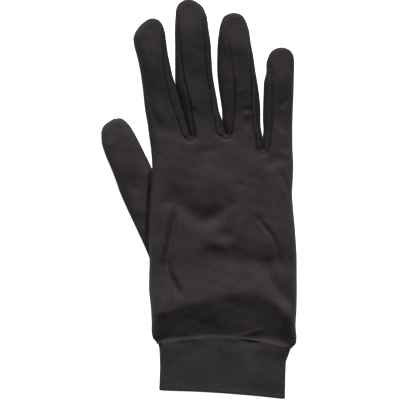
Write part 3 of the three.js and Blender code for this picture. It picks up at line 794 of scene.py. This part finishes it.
def hole_edge():
    """The palm panel's left edge, which leaves the outline along the thumb's hole."""
    edge = hand_left[:, :2].copy()
    rows = sorted(HOLE_ROWS)
    stations = np.arange(rows[0] - 1, rows[-1] + 2)
    across = [HOLE_ROWS.get(row, HAND_ROWS[row, 1]) * HALF_HAND for row in stations]
    path = smooth_line(np.column_stack([across, HAND_ROWS[stations, 0] * HAND_LENGTH]), HAND_STEPS)
    start = stations[0] * HAND_STEPS
    edge[start:start + len(path)] = path
    return edge


def make_fourchette(i, name, material):
    """A strip down one finger's side, round the crotch and up the next finger's side."""
    part = sewn_part(i)
    stations, out_way = outline[part, :2], outward[part]
    upper = (upper_seam[part] - SEAM_GAP / 2)[:, None]
    lower = (lower_seam[part] - SEAM_GAP / 2)[:, None]
    shares = crowded_shares(SIDE_COLUMNS, SIDE_CROWDING)
    path = np.concatenate([[0], np.cumsum(np.linalg.norm(np.diff(stations, axis=0), axis=1))])
    cloth = Cloth()
    grids = []
    for depth, surface_of in ((upper * (1 - shares), back_surface), (lower * shares[1:], palm_surface)):
        points = stations[:, None] - out_way[:, None] * depth[..., None]
        inward = np.broadcast_to(-out_way[:, None], points.shape)
        is_back = surface_of is back_surface
        surface, out = surface_of(points, depth, inward)
        edge = (upper if is_back else lower) - depth
        along = np.broadcast_to(path[:, None], depth.shape)
        shape = finger_seam_height(edge, along, path[-1])
        inner = surface - out * CLOTH_WALL
        surface = surface + out * shape[..., None]
        surface[..., 2] = np.maximum(surface[..., 2], 0)
        sign = -1 if is_back else 1
        grids.append((surface, inner, np.stack([sign * depth, along], axis=-1)))
    cloth.grid(*(np.concatenate(pair, axis=1) for pair in zip(*grids)), flipped=True)
    return cloth.build(name, material)


def thumb_crest(points, thumb_tip):
    """The thumb is highest away from the hand and lies lower where it goes in under the back."""
    hand_edge = np.interp(points[..., 1], hand_left[:, 1], hand_left[:, 0], left=0, right=0)
    top = lerp(*THUMB_HEIGHTS, np.clip((points[..., 1] - THUMB_RISE[0]) / np.ptp(THUMB_RISE), 0, 1))
    tuck = lerp(*THUMB_TUCK_HEIGHTS, ease(points[..., 1], *THUMB_TUCK_RISE))
    body = lerp(tuck, top, ease(hand_edge - points[..., 0], *THUMB_SETTLE))
    return lerp(TIP_HEIGHT, body, tip_share(points, thumb_tip))


def plan_thumb():
    """The thumb's outer side and its upper and lower inner ends, from the heel to the tip."""
    turn = math.radians(THUMB_LEAN)
    axis = np.array([-math.sin(turn), math.cos(turn)])
    across = np.array([axis[1], -axis[0]])
    rows = np.array(THUMB_ROWS)
    centre = hand_point(*THUMB_ROOT) + rows[:, :1] * THUMB_LENGTH * axis
    left = centre + rows[:, 1:2] * HALF_THUMB * across
    right = centre + rows[:, 2:3] * HALF_THUMB * across
    heel = THUMB_HEEL["along"]
    outer = [hand_point(THUMB_HEEL["across"], heel), *(hand_point(*place) for place in THUMB_FLARE), *left]
    upper = [hand_point(THUMB_HEEL["upper"], heel)]
    lower = [hand_point(THUMB_HEEL["lower"], heel)]
    for row, hole in HOLE_ROWS.items():
        along = HAND_ROWS[row, 0]
        upper.append(hand_point(HAND_ROWS[row, 1], along) + [THUMB_TUCK, 0])
        lower.append(hand_point(hole, along) - [HOLE_GAP, 0])
    return [smooth_line(side, THUMB_STEPS) for side in (outer, [*upper, *right], [*lower, *right])], across


def make_thumb(material):
    (outer, upper, lower), across = plan_thumb()
    tube = (len(THUMB_FLARE) + 1) * THUMB_STEPS
    rim = np.vstack([outer, upper[tube:-1][::-1]])
    rim_out = outward_of(rim)
    outer_out = rim_out[:len(outer)]
    inner_out = np.vstack([rim_out[len(outer):], rim_out[len(outer) - 1:len(outer)]])
    over = crowded_shares(THUMB_UPPER_COLUMNS, THUMB_CROWDING)
    under = crowded_shares(THUMB_LOWER_COLUMNS, THUMB_CROWDING)
    along_axis = np.array([-across[1], across[0]])
    grids = []
    for starts, ends, shares, is_upper in ((upper, outer, over, True), (outer, lower, under[1:], False)):
        points = lerp(starts[:, None], ends[:, None], shares[:, None])
        distance, inward, _, _ = measure_from(rim, points)
        if is_upper:
            distance[:, -1], inward[:, -1] = 0, -outer_out
        inner_column = 0 if is_upper else -1
        distance[tube:, inner_column] = 0
        inward[tube:, inner_column] = -inner_out[::-1]
        edge = np.full(distance.shape, float(THUMB_SIDE_HEIGHT))
        crest = thumb_crest(points, outer[-1:]) if is_upper else np.zeros(distance.shape)
        roll = lerp(TIP_ROLL, FINGER_ROLL, tip_share(points, outer[-1:])) if is_upper else LOWER_ROLL
        surface, out = raise_wall(points, distance, inward, edge, crest, roll)
        held = ease(distance, *FOLD_DEPTHS)
        shape = wave_height(points) * held
        shape = shape + fold_height(points, THUMB_FOLDS) * held if is_upper else np.abs(shape)
        surface = surface + lift_by(shape)
        inner = surface - out * CLOTH_WALL
        surface[..., 2] = np.maximum(surface[..., 2], 0)
        from_tip = points - outer[-1]
        weave = np.stack([from_tip @ across, from_tip @ along_axis], axis=-1)
        grids.append((surface, inner, weave))
    grid = [np.concatenate(pair, axis=1) for pair in zip(*grids)]
    cloth = Cloth()
    cloth.grid(*(part[::-1] for part in grid))
    return cloth.build("thumb_knit", material)


# The cuff
CUFF_COLUMNS = 760
CUFF_OUTER_ROWS = 40
CUFF_INNER_ROWS = 10
HEM_TURNS = 8
RIB_PITCH = 1.25
RIB_DEPTH = 0.28
RIB_ROUNDNESS = 0.7
THREAD = {"points": 5, "sides": 6, "sink": 0.7, "arch": 2.0, "wobble": 0.15}
CUFF_TUCK = {"across": 18, "reach": 7, "depth": 1.1, "length": 3.6}
CUFF_LIP = {"rise": 0.3, "length": 1.3}
HEM_ROWS = (3.6, 4.9, 6.2)
HEM_GROOVE = 0.14
HEM_GROOVE_WIDTH = 0.3
HEM_FLARE = {"rise": 0.5, "length": 7}
RING_CROWDING = 0.25
ROW_CROWDING = 0.5
UNDER_SHAPE = 0.5
CUFF_CLEARANCE = 0.02


def cuff_y(across, along):
    """The height in the plan between the seam's arch and the hem's."""
    share = (across + HALF_CUFF) / CUFF_WIDTH
    hem = lerp(HEM["left"], HEM["right"], share) * CUFF_LENGTH + HEM_ARCH * 4 * share * (1 - share)
    return lerp(cuff_seam_y(across) - SEAM_GAP, hem, along)


def cuff_ring(along):
    """One ring of the cuff round both faces: its points, the way out and the place round it."""
    left, right = (np.interp(along, CUFF_ROWS[:, 0], CUFF_ROWS[:, side]) * HALF_CUFF for side in (1, 2))
    half_columns = CUFF_COLUMNS // 2
    shares = crowded_shares(half_columns, RING_CROWDING)
    over, under = lerp(right, left, shares), lerp(left, right, shares)[1:-1]
    across = np.concatenate([over, under])
    is_over = np.arange(len(across)) <= half_columns
    near_left = across - left < right - across
    distance = np.where(near_left, across - left, right - across)
    inward = np.column_stack([np.where(near_left, 1, -1), np.zeros(len(across))])
    points = np.column_stack([across, cuff_y(across, along)])
    edge = np.full(len(across), float(SIDE_HEIGHT))
    crest = np.where(is_over, CUFF_HEIGHT, 0)
    roll = np.where(is_over, HAND_ROLL, LOWER_ROLL)
    surface, out = raise_wall(points, distance, inward, edge, crest, roll)
    from_seam = np.maximum(cuff_seam_y(across) - points[:, 1], 0)
    shape = wave_height(points) + CUFF_LIP["rise"] * np.exp(-(from_seam / CUFF_LIP["length"]) ** 2)
    near = np.exp(-((across - CUFF_TUCK["across"]) / CUFF_TUCK["reach"]) ** 2)
    shape -= near * np.exp(-(from_seam / CUFF_TUCK["length"]) ** 2) * CUFF_TUCK["depth"]
    from_hem = points[:, 1] - cuff_y(across, 1)
    shape += HEM_FLARE["rise"] * (1 - ease(from_hem, 0, HEM_FLARE["length"]))
    shape = (shape + fold_height(points, CUFF_FOLDS)) * ease(distance, *FOLD_DEPTHS)
    surface[:, 2] += np.where(is_over, shape, np.abs(shape) * UNDER_SHAPE)
    closed = np.vstack([surface, surface[:1]])
    around = np.concatenate([[0], np.cumsum(np.linalg.norm(np.diff(closed, axis=0), axis=1))])
    return surface, out, around[:-1] / around[-1]


def make_cuff_base():
    """The cuff as one closed wall: outside, round the hem, inside and back to the seam."""
    rings, outside, weave = [], [], []

    def add(ring, mask, around, along):
        rings.append(ring)
        outside.append(np.full(len(ring), mask))
        weave.append(np.column_stack([around * 2 * CUFF_WIDTH, along]))

    half_wall = CUFF_WALL / 2
    hem_share = 1 - half_wall / CUFF_LENGTH
    for along in crowded_shares(CUFF_OUTER_ROWS, ROW_CROWDING) * hem_share:
        surface, out, around = cuff_ring(along)
        from_hem = surface[:, 1] - cuff_y(surface[:, 0], 1)
        grooves = HEM_GROOVE * sum(np.exp(-((from_hem - row) / HEM_GROOVE_WIDTH) ** 2) for row in HEM_ROWS)
        add(surface - out * grooves[:, None], 1.0, around, surface[:, 1])
    surface, out, around = cuff_ring(hem_share)
    for turn in np.linspace(0, np.pi, HEM_TURNS + 1)[1:-1]:
        middle = surface - out * half_wall
        ring = middle + out * half_wall * math.cos(turn) - np.array([0, half_wall * math.sin(turn), 0])
        add(ring, math.sqrt(max(math.cos(turn), 0)), around, ring[:, 1])
    for along in np.linspace(hem_share, 0, CUFF_INNER_ROWS):
        surface, out, around = cuff_ring(along)
        add(surface - out * CUFF_WALL, 0.0, around, surface[:, 1])
    points = np.array(rings)
    points[..., 2] = np.maximum(points[..., 2], CUFF_CLEARANCE)
    rows, columns = points.shape[:2]
    index = np.arange(rows * columns).reshape(rows, columns)
    corners = [index, np.roll(index, -1, axis=1), np.roll(index, (-1, -1), axis=(0, 1)),
               np.roll(index, -1, axis=0)]
    faces = np.stack(corners, axis=-1).reshape(-1, 4)
    mesh = bpy.data.meshes.new("cuff_base")
    mesh.from_pydata(to_frame(points.reshape(-1, 3)).tolist(), [], faces.tolist())
    weave = np.vstack(weave)
    for label, values in (("around", weave[:, 0]), ("outside", np.concatenate(outside))):
        mesh.attributes.new(label, "FLOAT", "POINT").data.foreach_set("value", values.astype(np.float32))
    return mesh, weave


def node(tree, kind, settings=(), **inputs):
    """A new node with its settings, and with each input, by its name or place, set or linked."""
    made = tree.nodes.new(kind)
    for name, value in dict(settings).items():
        setattr(made, name, value)
    for name, value in inputs.items():
        connect(tree, made, name, value)
    return made


def connect(tree, made, name, value):
    """Sets one input, or links it to a socket or to a node's first output."""
    socket = made.inputs[int(name[1:])] if name[0] == "_" else made.inputs[name]
    if isinstance(value, bpy.types.Node):
        value = value.outputs[0]
    if isinstance(value, bpy.types.NodeSocket):
        tree.links.new(value, socket)
    else:
        socket.default_value = value


def math_node(tree, operation, *values):
    """The result of one sum of numbers or sockets."""
    inputs = {f"_{i}": value for i, value in enumerate(values)}
    return node(tree, "ShaderNodeMath", {"operation": operation}, **inputs).outputs[0]


def start_tree(name, inputs):
    """A Geometry Nodes tree with named inputs, and its input and output nodes."""
    tree = bpy.data.node_groups.new(name, "GeometryNodeTree")
    tree.interface.new_socket(name="Geometry", in_out="INPUT", socket_type="NodeSocketGeometry")
    for label, kind in inputs.items():
        tree.interface.new_socket(name=label, in_out="INPUT", socket_type=kind)
    tree.interface.new_socket(name="Geometry", in_out="OUTPUT", socket_type="NodeSocketGeometry")
    return tree, tree.nodes.new("NodeGroupInput"), tree.nodes.new("NodeGroupOutput")


def end_tree(tree, geometry, given, result):
    """Every tree ends in real geometry with its material."""
    real = node(tree, "GeometryNodeRealizeInstances", Geometry=geometry)
    dressed = node(tree, "GeometryNodeSetMaterial", Geometry=real, Material=given.outputs["Material"])
    connect(tree, result, "_0", dressed)


def make_rib_tree():
    """Raises vertical ribs round a tube whose points know their place round it."""
    tree, given, result = start_tree("ribs", {
        "Rib pitch": "NodeSocketFloat", "Rib depth": "NodeSocketFloat", "Material": "NodeSocketMaterial"})
    step, calc = partial(node, tree), partial(math_node, tree)
    around, outside = (
        step("GeometryNodeInputNamedAttribute", {"data_type": "FLOAT"}, Name=name)
        for name in ("around", "outside"))
    turns = calc("DIVIDE", around, given.outputs["Rib pitch"])
    wave = calc("COSINE", calc("MULTIPLY", turns, 2 * math.pi))
    bow = calc("POWER", calc("MULTIPLY_ADD", wave, 0.5, 0.5), RIB_ROUNDNESS)
    height = calc("MULTIPLY", calc("MULTIPLY", bow, given.outputs["Rib depth"]), outside)
    normal = step("GeometryNodeInputNormal")
    offset = step("ShaderNodeVectorMath", {"operation": "SCALE"}, _0=normal, Scale=height)
    moved = step("GeometryNodeSetPosition", Geometry=given.outputs["Geometry"], Offset=offset)
    end_tree(tree, moved, given, result)
    return tree


def make_stitch_tree():
    """Lays short threads along a line, each across the way by its slant and bent down at both ends."""
    tree, given, result = start_tree("stitches", {
        "Stitch pitch": "NodeSocketFloat", "Stitch length": "NodeSocketFloat",
        "Thread radius": "NodeSocketFloat", "Slant": "NodeSocketFloat", "Seed": "NodeSocketInt",
        "Material": "NodeSocketMaterial"})
    step, calc = partial(node, tree), partial(math_node, tree)
    line = step("GeometryNodeMeshToCurve", Mesh=given.outputs["Geometry"])
    spaced = step("GeometryNodeResampleCurve", {"mode": "LENGTH"}, Curve=line,
                  Length=given.outputs["Stitch pitch"])
    half = calc("MULTIPLY", given.outputs["Stitch length"], 0.5)
    start = step("ShaderNodeCombineXYZ", X=calc("MULTIPLY", half, -1.0))
    end = step("ShaderNodeCombineXYZ", X=half)
    core = step("GeometryNodeCurvePrimitiveLine", Start=start, End=end)
    bent = step("GeometryNodeResampleCurve", {"mode": "COUNT"}, Curve=core,
                Count=THREAD["points"])
    factor = step("GeometryNodeSplineParameter").outputs["Factor"]
    arch = calc("SINE", calc("MULTIPLY", factor, math.pi))
    drop = calc("MULTIPLY", calc("SUBTRACT", arch, THREAD["sink"]), given.outputs["Thread radius"])
    down = step("ShaderNodeCombineXYZ", Z=calc("MULTIPLY", drop, THREAD["arch"]))
    arched = step("GeometryNodeSetPosition", Geometry=bent, Offset=down)
    ring = step("GeometryNodeCurvePrimitiveCircle", Resolution=THREAD["sides"],
                Radius=given.outputs["Thread radius"])
    thread = step("GeometryNodeCurveToMesh", Curve=arched, **{"Profile Curve": ring, "Fill Caps": True})
    up = step("GeometryNodeInputNamedAttribute", {"data_type": "FLOAT_VECTOR"}, Name="up")
    standing = step("FunctionNodeAlignRotationToVector", {"axis": "Z"}, Vector=up)
    laid = step("FunctionNodeAlignRotationToVector", {"axis": "X", "pivot_axis": "Z"},
                Rotation=standing, Vector=step("GeometryNodeInputTangent"))
    wobble = step("FunctionNodeRandomValue", {"data_type": "FLOAT"}, Seed=given.outputs["Seed"],
                  _2=-THREAD["wobble"], _3=THREAD["wobble"])
    turn = step("ShaderNodeCombineXYZ", Z=calc("ADD", given.outputs["Slant"], wobble.outputs[1]))
    turned = step("FunctionNodeRotateRotation", {"rotation_space": "LOCAL"}, Rotation=laid,
                  _1=turn)
    placed = step("GeometryNodeInstanceOnPoints", Points=spaced, Instance=thread,
                  Rotation=turned)
    end_tree(tree, placed, given, result)
    return tree


def run_tree(mesh, tree, name, values):
    """The tree's result on a mesh, as a plain piece."""
    source = place_object(name + "_source", mesh)
    modifier = source.modifiers.new("nodes", "NODES")
    modifier.node_group = tree
    for item in tree.interface.items_tree:
        if item.in_out == "INPUT" and item.name in values:
            modifier[item.identifier] = values[item.name]
    evaluated = source.evaluated_get(bpy.context.evaluated_depsgraph_get())
    made = bpy.data.meshes.new_from_object(evaluated)
    bpy.data.objects.remove(source)
    made.name = name
    return place_object(name, made)


def make_cuff(material, tree):
    mesh, weave = make_cuff_base()
    mesh.shade_smooth()
    map_cloth(mesh, weave)
    piece = run_tree(mesh, tree, "cuff_ribbed", {
        "Rib pitch": RIB_PITCH, "Rib depth": RIB_DEPTH * MM, "Material": material})
    piece.data.shade_smooth()
    return piece


def stitch_line(name, lines, tree, values):
    """Stitches along some lines, each an array of points and one of the surface's way out."""
    points, ups, edges = [], [], []
    count = 0
    for line, up in lines:
        points.append(line)
        ups.append(up)
        edges += [(count + i, count + i + 1) for i in range(len(line) - 1)]
        count += len(line)
    mesh = bpy.data.meshes.new(name + "_line")
    mesh.from_pydata(to_frame(np.vstack(points)).tolist(), edges, [])
    attribute = mesh.attributes.new("up", "FLOAT_VECTOR", "POINT")
    attribute.data.foreach_set("vector", np.vstack(ups).astype(np.float32).ravel())
    return run_tree(mesh, tree, name, values)


# Materials
KNIT = {"wale": 0.62, "course": 0.5, "slant": 0.45, "roundness": 0.7, "loops": 0.3, "rib_loops": 0.4}

# Each finish: colour, sheen tint, roughness, sheen, scale and detail of its fuzz, and height of its relief
FINISHES = {
    "hand_knit": ((0.031, 0.0262, 0.0266), (0.5, 0.44, 0.45), 0.82, 0.06, 2600, 3, 0.03),
    # side_knit is the hand knit's colour darkened: painted shade on the fourchettes' sides between the
    # fingers
    "side_knit": ((0.021, 0.0175, 0.0178), (0.5, 0.44, 0.45), 0.84, 0.06, 2600, 3, 0.03),
    "cuff_knit": ((0.03, 0.0275, 0.031), (0.46, 0.42, 0.5), 0.9, 0.06, 2200, 3, 0.04),
    "seam_thread": ((0.016, 0.0138, 0.014), (0.5, 0.5, 0.5), 0.7, 0.02, 4000, 2, 0.05),
    "hem_thread": ((0.045, 0.04, 0.046), (0.5, 0.5, 0.5), 0.7, 0.02, 4000, 2, 0.05),
    "pale_thread": ((0.22, 0.2, 0.19), (0.5, 0.5, 0.5), 0.7, 0.02, 4000, 2, 0.05),
}
SHINE = 0.1
SHEEN_ROUGHNESS = 0.35
BUMP_STRENGTH = 0.5
MOTTLE = {
    "noises": ({"Scale": 60, "Detail": 4, "Roughness": 0.6}, {"Scale": 1100, "Detail": 2}),
    "share": 0.35, "low": 0.32, "high": 0.68, "dark": 0.6, "light": 1.4,
}
# Painted shade: the knit's colour darkens up the fingers to stand in for the shade that falls on them
FINGER_PAINTED_SHADE = {"start": 112, "full": 152, "shade_level": 0.68}


def mottled(tree, colour, place):
    """The colour, a little lighter and darker from place to place and from loop to loop."""
    calc = partial(math_node, tree)
    broad, fine = (node(tree, "ShaderNodeTexNoise", Vector=place, **noise) for noise in MOTTLE["noises"])
    both = calc("ADD", calc("MULTIPLY", broad, MOTTLE["share"]),
                calc("MULTIPLY", fine, 1 - MOTTLE["share"]))
    ramp = node(tree, "ShaderNodeValToRGB", Fac=both)
    for stop, edge, shade in zip(ramp.color_ramp.elements, ("low", "high"), ("dark", "light")):
        stop.position = MOTTLE[edge]
        stop.color = (*(value * MOTTLE[shade] for value in colour), 1)
    return ramp


def paint_finger_shade(tree, colour, along):
    """The colour with painted shade: darker where the cloth map runs up the fingers, standing in for the
    shade that falls on them.
    """
    share = node(tree, "ShaderNodeMapRange", {"interpolation_type": "SMOOTHSTEP"}, _0=along,
                 _1=FINGER_PAINTED_SHADE["start"] * MM, _2=FINGER_PAINTED_SHADE["full"] * MM, _3=1.0,
                 _4=FINGER_PAINTED_SHADE["shade_level"])
    return node(tree, "ShaderNodeVectorMath", {"operation": "SCALE"}, _0=colour, Scale=share)


def make_material(name, loops=None, has_painted_finger_shade=False):
    """A knit with its loops drawn by the piece's cloth map, or a thread mottled by its place."""
    colour, tint, roughness, sheen, fuzz_scale, fuzz_detail, relief = FINISHES[name]
    material = bpy.data.materials.new(name)
    material.use_nodes = True
    tree = material.node_tree
    shader = tree.nodes["Principled BSDF"]
    uniform = {"Roughness": roughness, "Specular IOR Level": SHINE, "Sheen Weight": sheen,
               "Sheen Roughness": SHEEN_ROUGHNESS, "Sheen Tint": (*tint, 1)}
    for socket, value in uniform.items():
        connect(tree, shader, socket, value)
    if loops:
        place = node(tree, "ShaderNodeUVMap", {"uv_map": "cloth"})
    else:
        place = node(tree, "ShaderNodeTexCoord").outputs["Object"]
    height = node(tree, "ShaderNodeTexNoise", Vector=place, Scale=fuzz_scale, Detail=fuzz_detail)
    shade = mottled(tree, colour, place)
    if loops:
        across, along, _ = node(tree, "ShaderNodeSeparateXYZ", Vector=place).outputs
        height = math_node(tree, "ADD", loops(partial(math_node, tree), across, along), height)
        # Painted shade up the fingers, where asked
        shade = paint_finger_shade(tree, shade, along) if has_painted_finger_shade else shade
    bump = node(tree, "ShaderNodeBump", Strength=BUMP_STRENGTH, Distance=relief * MM, Height=height)
    connect(tree, shader, "Normal", bump)
    connect(tree, shader, "Base Color", shade)
    return material


def plain_loops(calc, across, along):
    """Fine plain knit: columns of loops like small letters V."""
    wales = calc("DIVIDE", across, KNIT["wale"] * MM)
    column = calc("ABSOLUTE", calc("SINE", calc("MULTIPLY", wales, math.pi)))
    courses = calc("ADD", calc("DIVIDE", along, KNIT["course"] * MM),
                   calc("MULTIPLY", column, KNIT["slant"]))
    rows = calc("SINE", calc("MULTIPLY", courses, 2 * math.pi))
    return calc("ADD", calc("POWER", column, KNIT["roundness"]), calc("MULTIPLY", rows, KNIT["loops"]))


def rib_loops(calc, across, along):
    """Dense rib knit: fine courses across ribs that are part of the mesh."""
    rows = calc("SINE", calc("MULTIPLY", calc("DIVIDE", along, KNIT["course"] * MM), 2 * math.pi))
    wales = calc("DIVIDE", across, RIB_PITCH / 2 * MM)
    column = calc("ABSOLUTE", calc("SINE", calc("MULTIPLY", wales, math.pi)))
    return calc("ADD", column, calc("MULTIPLY", rows, KNIT["rib_loops"]))


# The hand knit carries painted shade up the fingers
hand_knit = make_material("hand_knit", plain_loops, has_painted_finger_shade=True)
# The fourchettes' knit is darker as painted shade, not as a different yarn
side_knit = make_material("side_knit", plain_loops)
cuff_knit = make_material("cuff_knit", rib_loops)
seam_thread, hem_thread, pale_thread = map(make_material, ("seam_thread", "hem_thread", "pale_thread"))

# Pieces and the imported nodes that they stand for
rib_tree, stitch_tree = make_rib_tree(), make_stitch_tree()
pieces = [
    (make_panel("back_panel_knit", hand_knit, upper_seam, hand_left[:, :2], shape_back, False),
     "back_panel", "hand_knit"),
    (make_panel("palm_panel_knit", hand_knit, lower_seam, hole_edge(), shape_palm, True),
     "palm_panel", "hand_knit"),
    (make_thumb(hand_knit), "thumb", "hand_knit"),
    (make_cuff(cuff_knit, rib_tree), "cuff", "cuff_knit"),
]
for i, pair in enumerate(["index_middle", "middle_ring", "ring_little"]):
    strip = make_fourchette(i, f"fourchette_{pair}_knit", side_knit)
    pieces.append((strip, f"fourchette_{pair}", "side_knit"))
for piece, replaced, slot in pieces:
    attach(piece, "root")
    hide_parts(replaced)

# Stitches
SEAM_STITCHES = {"Stitch pitch": 1.4 * MM, "Stitch length": 1.2 * MM, "Thread radius": 0.16 * MM,
                 "Slant": 1.1, "Seed": 3}
HEM_STITCHES = {"Stitch pitch": 1.9 * MM, "Stitch length": 1.2 * MM, "Thread radius": 0.13 * MM,
                "Slant": 0.0, "Seed": 5}
TACK_STITCHES = {"Stitch pitch": 0.9 * MM, "Stitch length": 0.5 * MM, "Thread radius": 0.08 * MM,
                 "Slant": 0.2, "Seed": 7}
STITCH_SINK = 0.42
HEM_STITCH_RISE = 0.75
HEM_STITCH_CLEARANCE = 0.15
TACK_RISE = 0.03
TACK_POINTS = 4

# Each tack: across, and from where to where along
TACKS = ((13, 11.5, 13), (14.8, 10.8, 12.8), (16, 10.6, 12), (17.6, 12, 13.6))

# No stitch shows in the tight turn at the bottom of each gap
STITCH_BEND = 1.2
crotch_points = [hand_point(*place) for place in CROTCHES]


def seam_stitch_lines():
    """The seams on the back: both edges of each fourchette."""
    lines = []
    for i in range(finger_count - 1):
        part = sewn_part(i)
        depth = upper_seam[part][:, None]
        points = outline[part, :2] - outward[part] * depth
        surface, out = back_surface(points[:, None], depth, -outward[part][:, None])
        line, ways = surface[:, 0] - out[:, 0] * STITCH_SINK, out[:, 0]
        bend = np.flatnonzero(np.linalg.norm(outline[part, :2] - crotch_points[i], axis=1) < STITCH_BEND)
        lines += [(line[:bend[0]], ways[:bend[0]]), (line[bend[-1]:], ways[bend[-1]:])]
    return lines


def hem_stitch_lines():
    """Rows of stitches round the hem, on the rib's outside."""
    lines = []
    for row in HEM_ROWS:
        along = 1 - row / CUFF_LENGTH
        surface, out, _ = cuff_ring(along)
        closed = np.vstack([surface, surface[:1]])
        ways = np.vstack([out, out[:1]])
        raised = closed + ways * (RIB_DEPTH * HEM_STITCH_RISE)
        raised[:, 2] = np.maximum(raised[:, 2], HEM_STITCH_CLEARANCE)
        lines.append((raised, ways))
    return lines


def tack_lines():
    """A few tiny pale stitches on the back, near the cuff."""
    lines = []
    for across, low, high in TACKS:
        along = np.linspace(low, high, TACK_POINTS)
        path = np.column_stack([np.full(TACK_POINTS, across), along])[:, None]
        distance, inward, _, _ = measure_from(outline[:, :2], path)
        surface, out = back_surface(path, distance, inward)
        lines.append((surface[:, 0] + out[:, 0] * TACK_RISE, out[:, 0]))
    return lines


stitch_pieces = [
    (stitch_line("seam_stitches", seam_stitch_lines(), stitch_tree,
                 {**SEAM_STITCHES, "Material": seam_thread}), "side_knit"),
    (stitch_line("hem_stitches", hem_stitch_lines(), stitch_tree,
                 {**HEM_STITCHES, "Material": hem_thread}), "cuff_knit"),
    (stitch_line("tack_stitches", tack_lines(), stitch_tree,
                 {**TACK_STITCHES, "Material": pale_thread}), "hand_knit"),
]
for piece, slot in stitch_pieces:
    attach(piece, "root")

# Floor, light and camera
FRAME_WIDTH = 250.8
FRAME_CENTRE = (-13.86, 90.75)
CAMERA_HEIGHT = 1500
FOCUS_HEIGHT = 4
KEY_ELEVATION = 30
KEY_TURN = 2
KEY_DISTANCE = 4
KEY_SIZE = 1.8
KEY_POWER = 292
AMBIENT = 0.12
FLOOR_SIZE = 12
FLOOR_GLOW = 1.05
FLOOR_DROP = 0.0003
FLOOR_GREY = 0.85
FLOOR_ROUGHNESS = 0.9


def make_floor():
    half, low = FLOOR_SIZE / 2, -FLOOR_DROP
    mesh = bpy.data.meshes.new("floor")
    corners = [(-half, -half, low), (half, -half, low), (half, half, low), (-half, half, low)]
    mesh.from_pydata(corners, [], [(0, 1, 2, 3)])
    material = bpy.data.materials.new("floor_white")
    material.use_nodes = True
    shader = material.node_tree.nodes["Principled BSDF"]
    shader.inputs["Base Color"].default_value = (FLOOR_GREY, FLOOR_GREY, FLOOR_GREY, 1)
    shader.inputs["Roughness"].default_value = FLOOR_ROUGHNESS
    shader.inputs["Emission Color"].default_value = (1, 1, 1, 1)
    shader.inputs["Emission Strength"].default_value = FLOOR_GLOW
    mesh.materials.append(material)
    place_object("floor", mesh)


def make_light():
    """A soft key light from beyond the fingertips, a little from the thumb's side."""
    lamp = bpy.data.lights.new("key_light", "AREA")
    lamp.shape = "SQUARE"
    lamp.size = KEY_SIZE
    lamp.energy = KEY_POWER
    light = place_object("key_light", lamp)
    rise, turn = math.radians(KEY_ELEVATION), math.radians(KEY_TURN)
    way = np.array([-math.sin(turn) * math.cos(rise), math.cos(turn) * math.cos(rise), math.sin(rise)])
    light.location = way * KEY_DISTANCE
    light.rotation_euler = (math.pi / 2 - rise, 0, math.pi + turn)
    world = bpy.data.worlds.new("studio")
    world.use_nodes = True
    background = world.node_tree.nodes["Background"].inputs
    background["Color"].default_value = (1, 1, 1, 1)
    background["Strength"].default_value = AMBIENT
    bpy.context.scene.world = world


def make_camera():
    """Straight down, at the photograph's angle."""
    centre = to_frame(np.array([*FRAME_CENTRE, 0]))
    data = bpy.data.cameras.new("camera")
    data.angle = 2 * math.atan(FRAME_WIDTH / 2 / CAMERA_HEIGHT)
    camera = place_object("camera", data)
    camera.location = (centre[0], centre[1], (CAMERA_HEIGHT + FOCUS_HEIGHT) * MM)
    bpy.context.scene.camera = camera


make_floor()
make_light()
make_camera()
bpy.context.scene.view_settings.view_transform = "Standard"
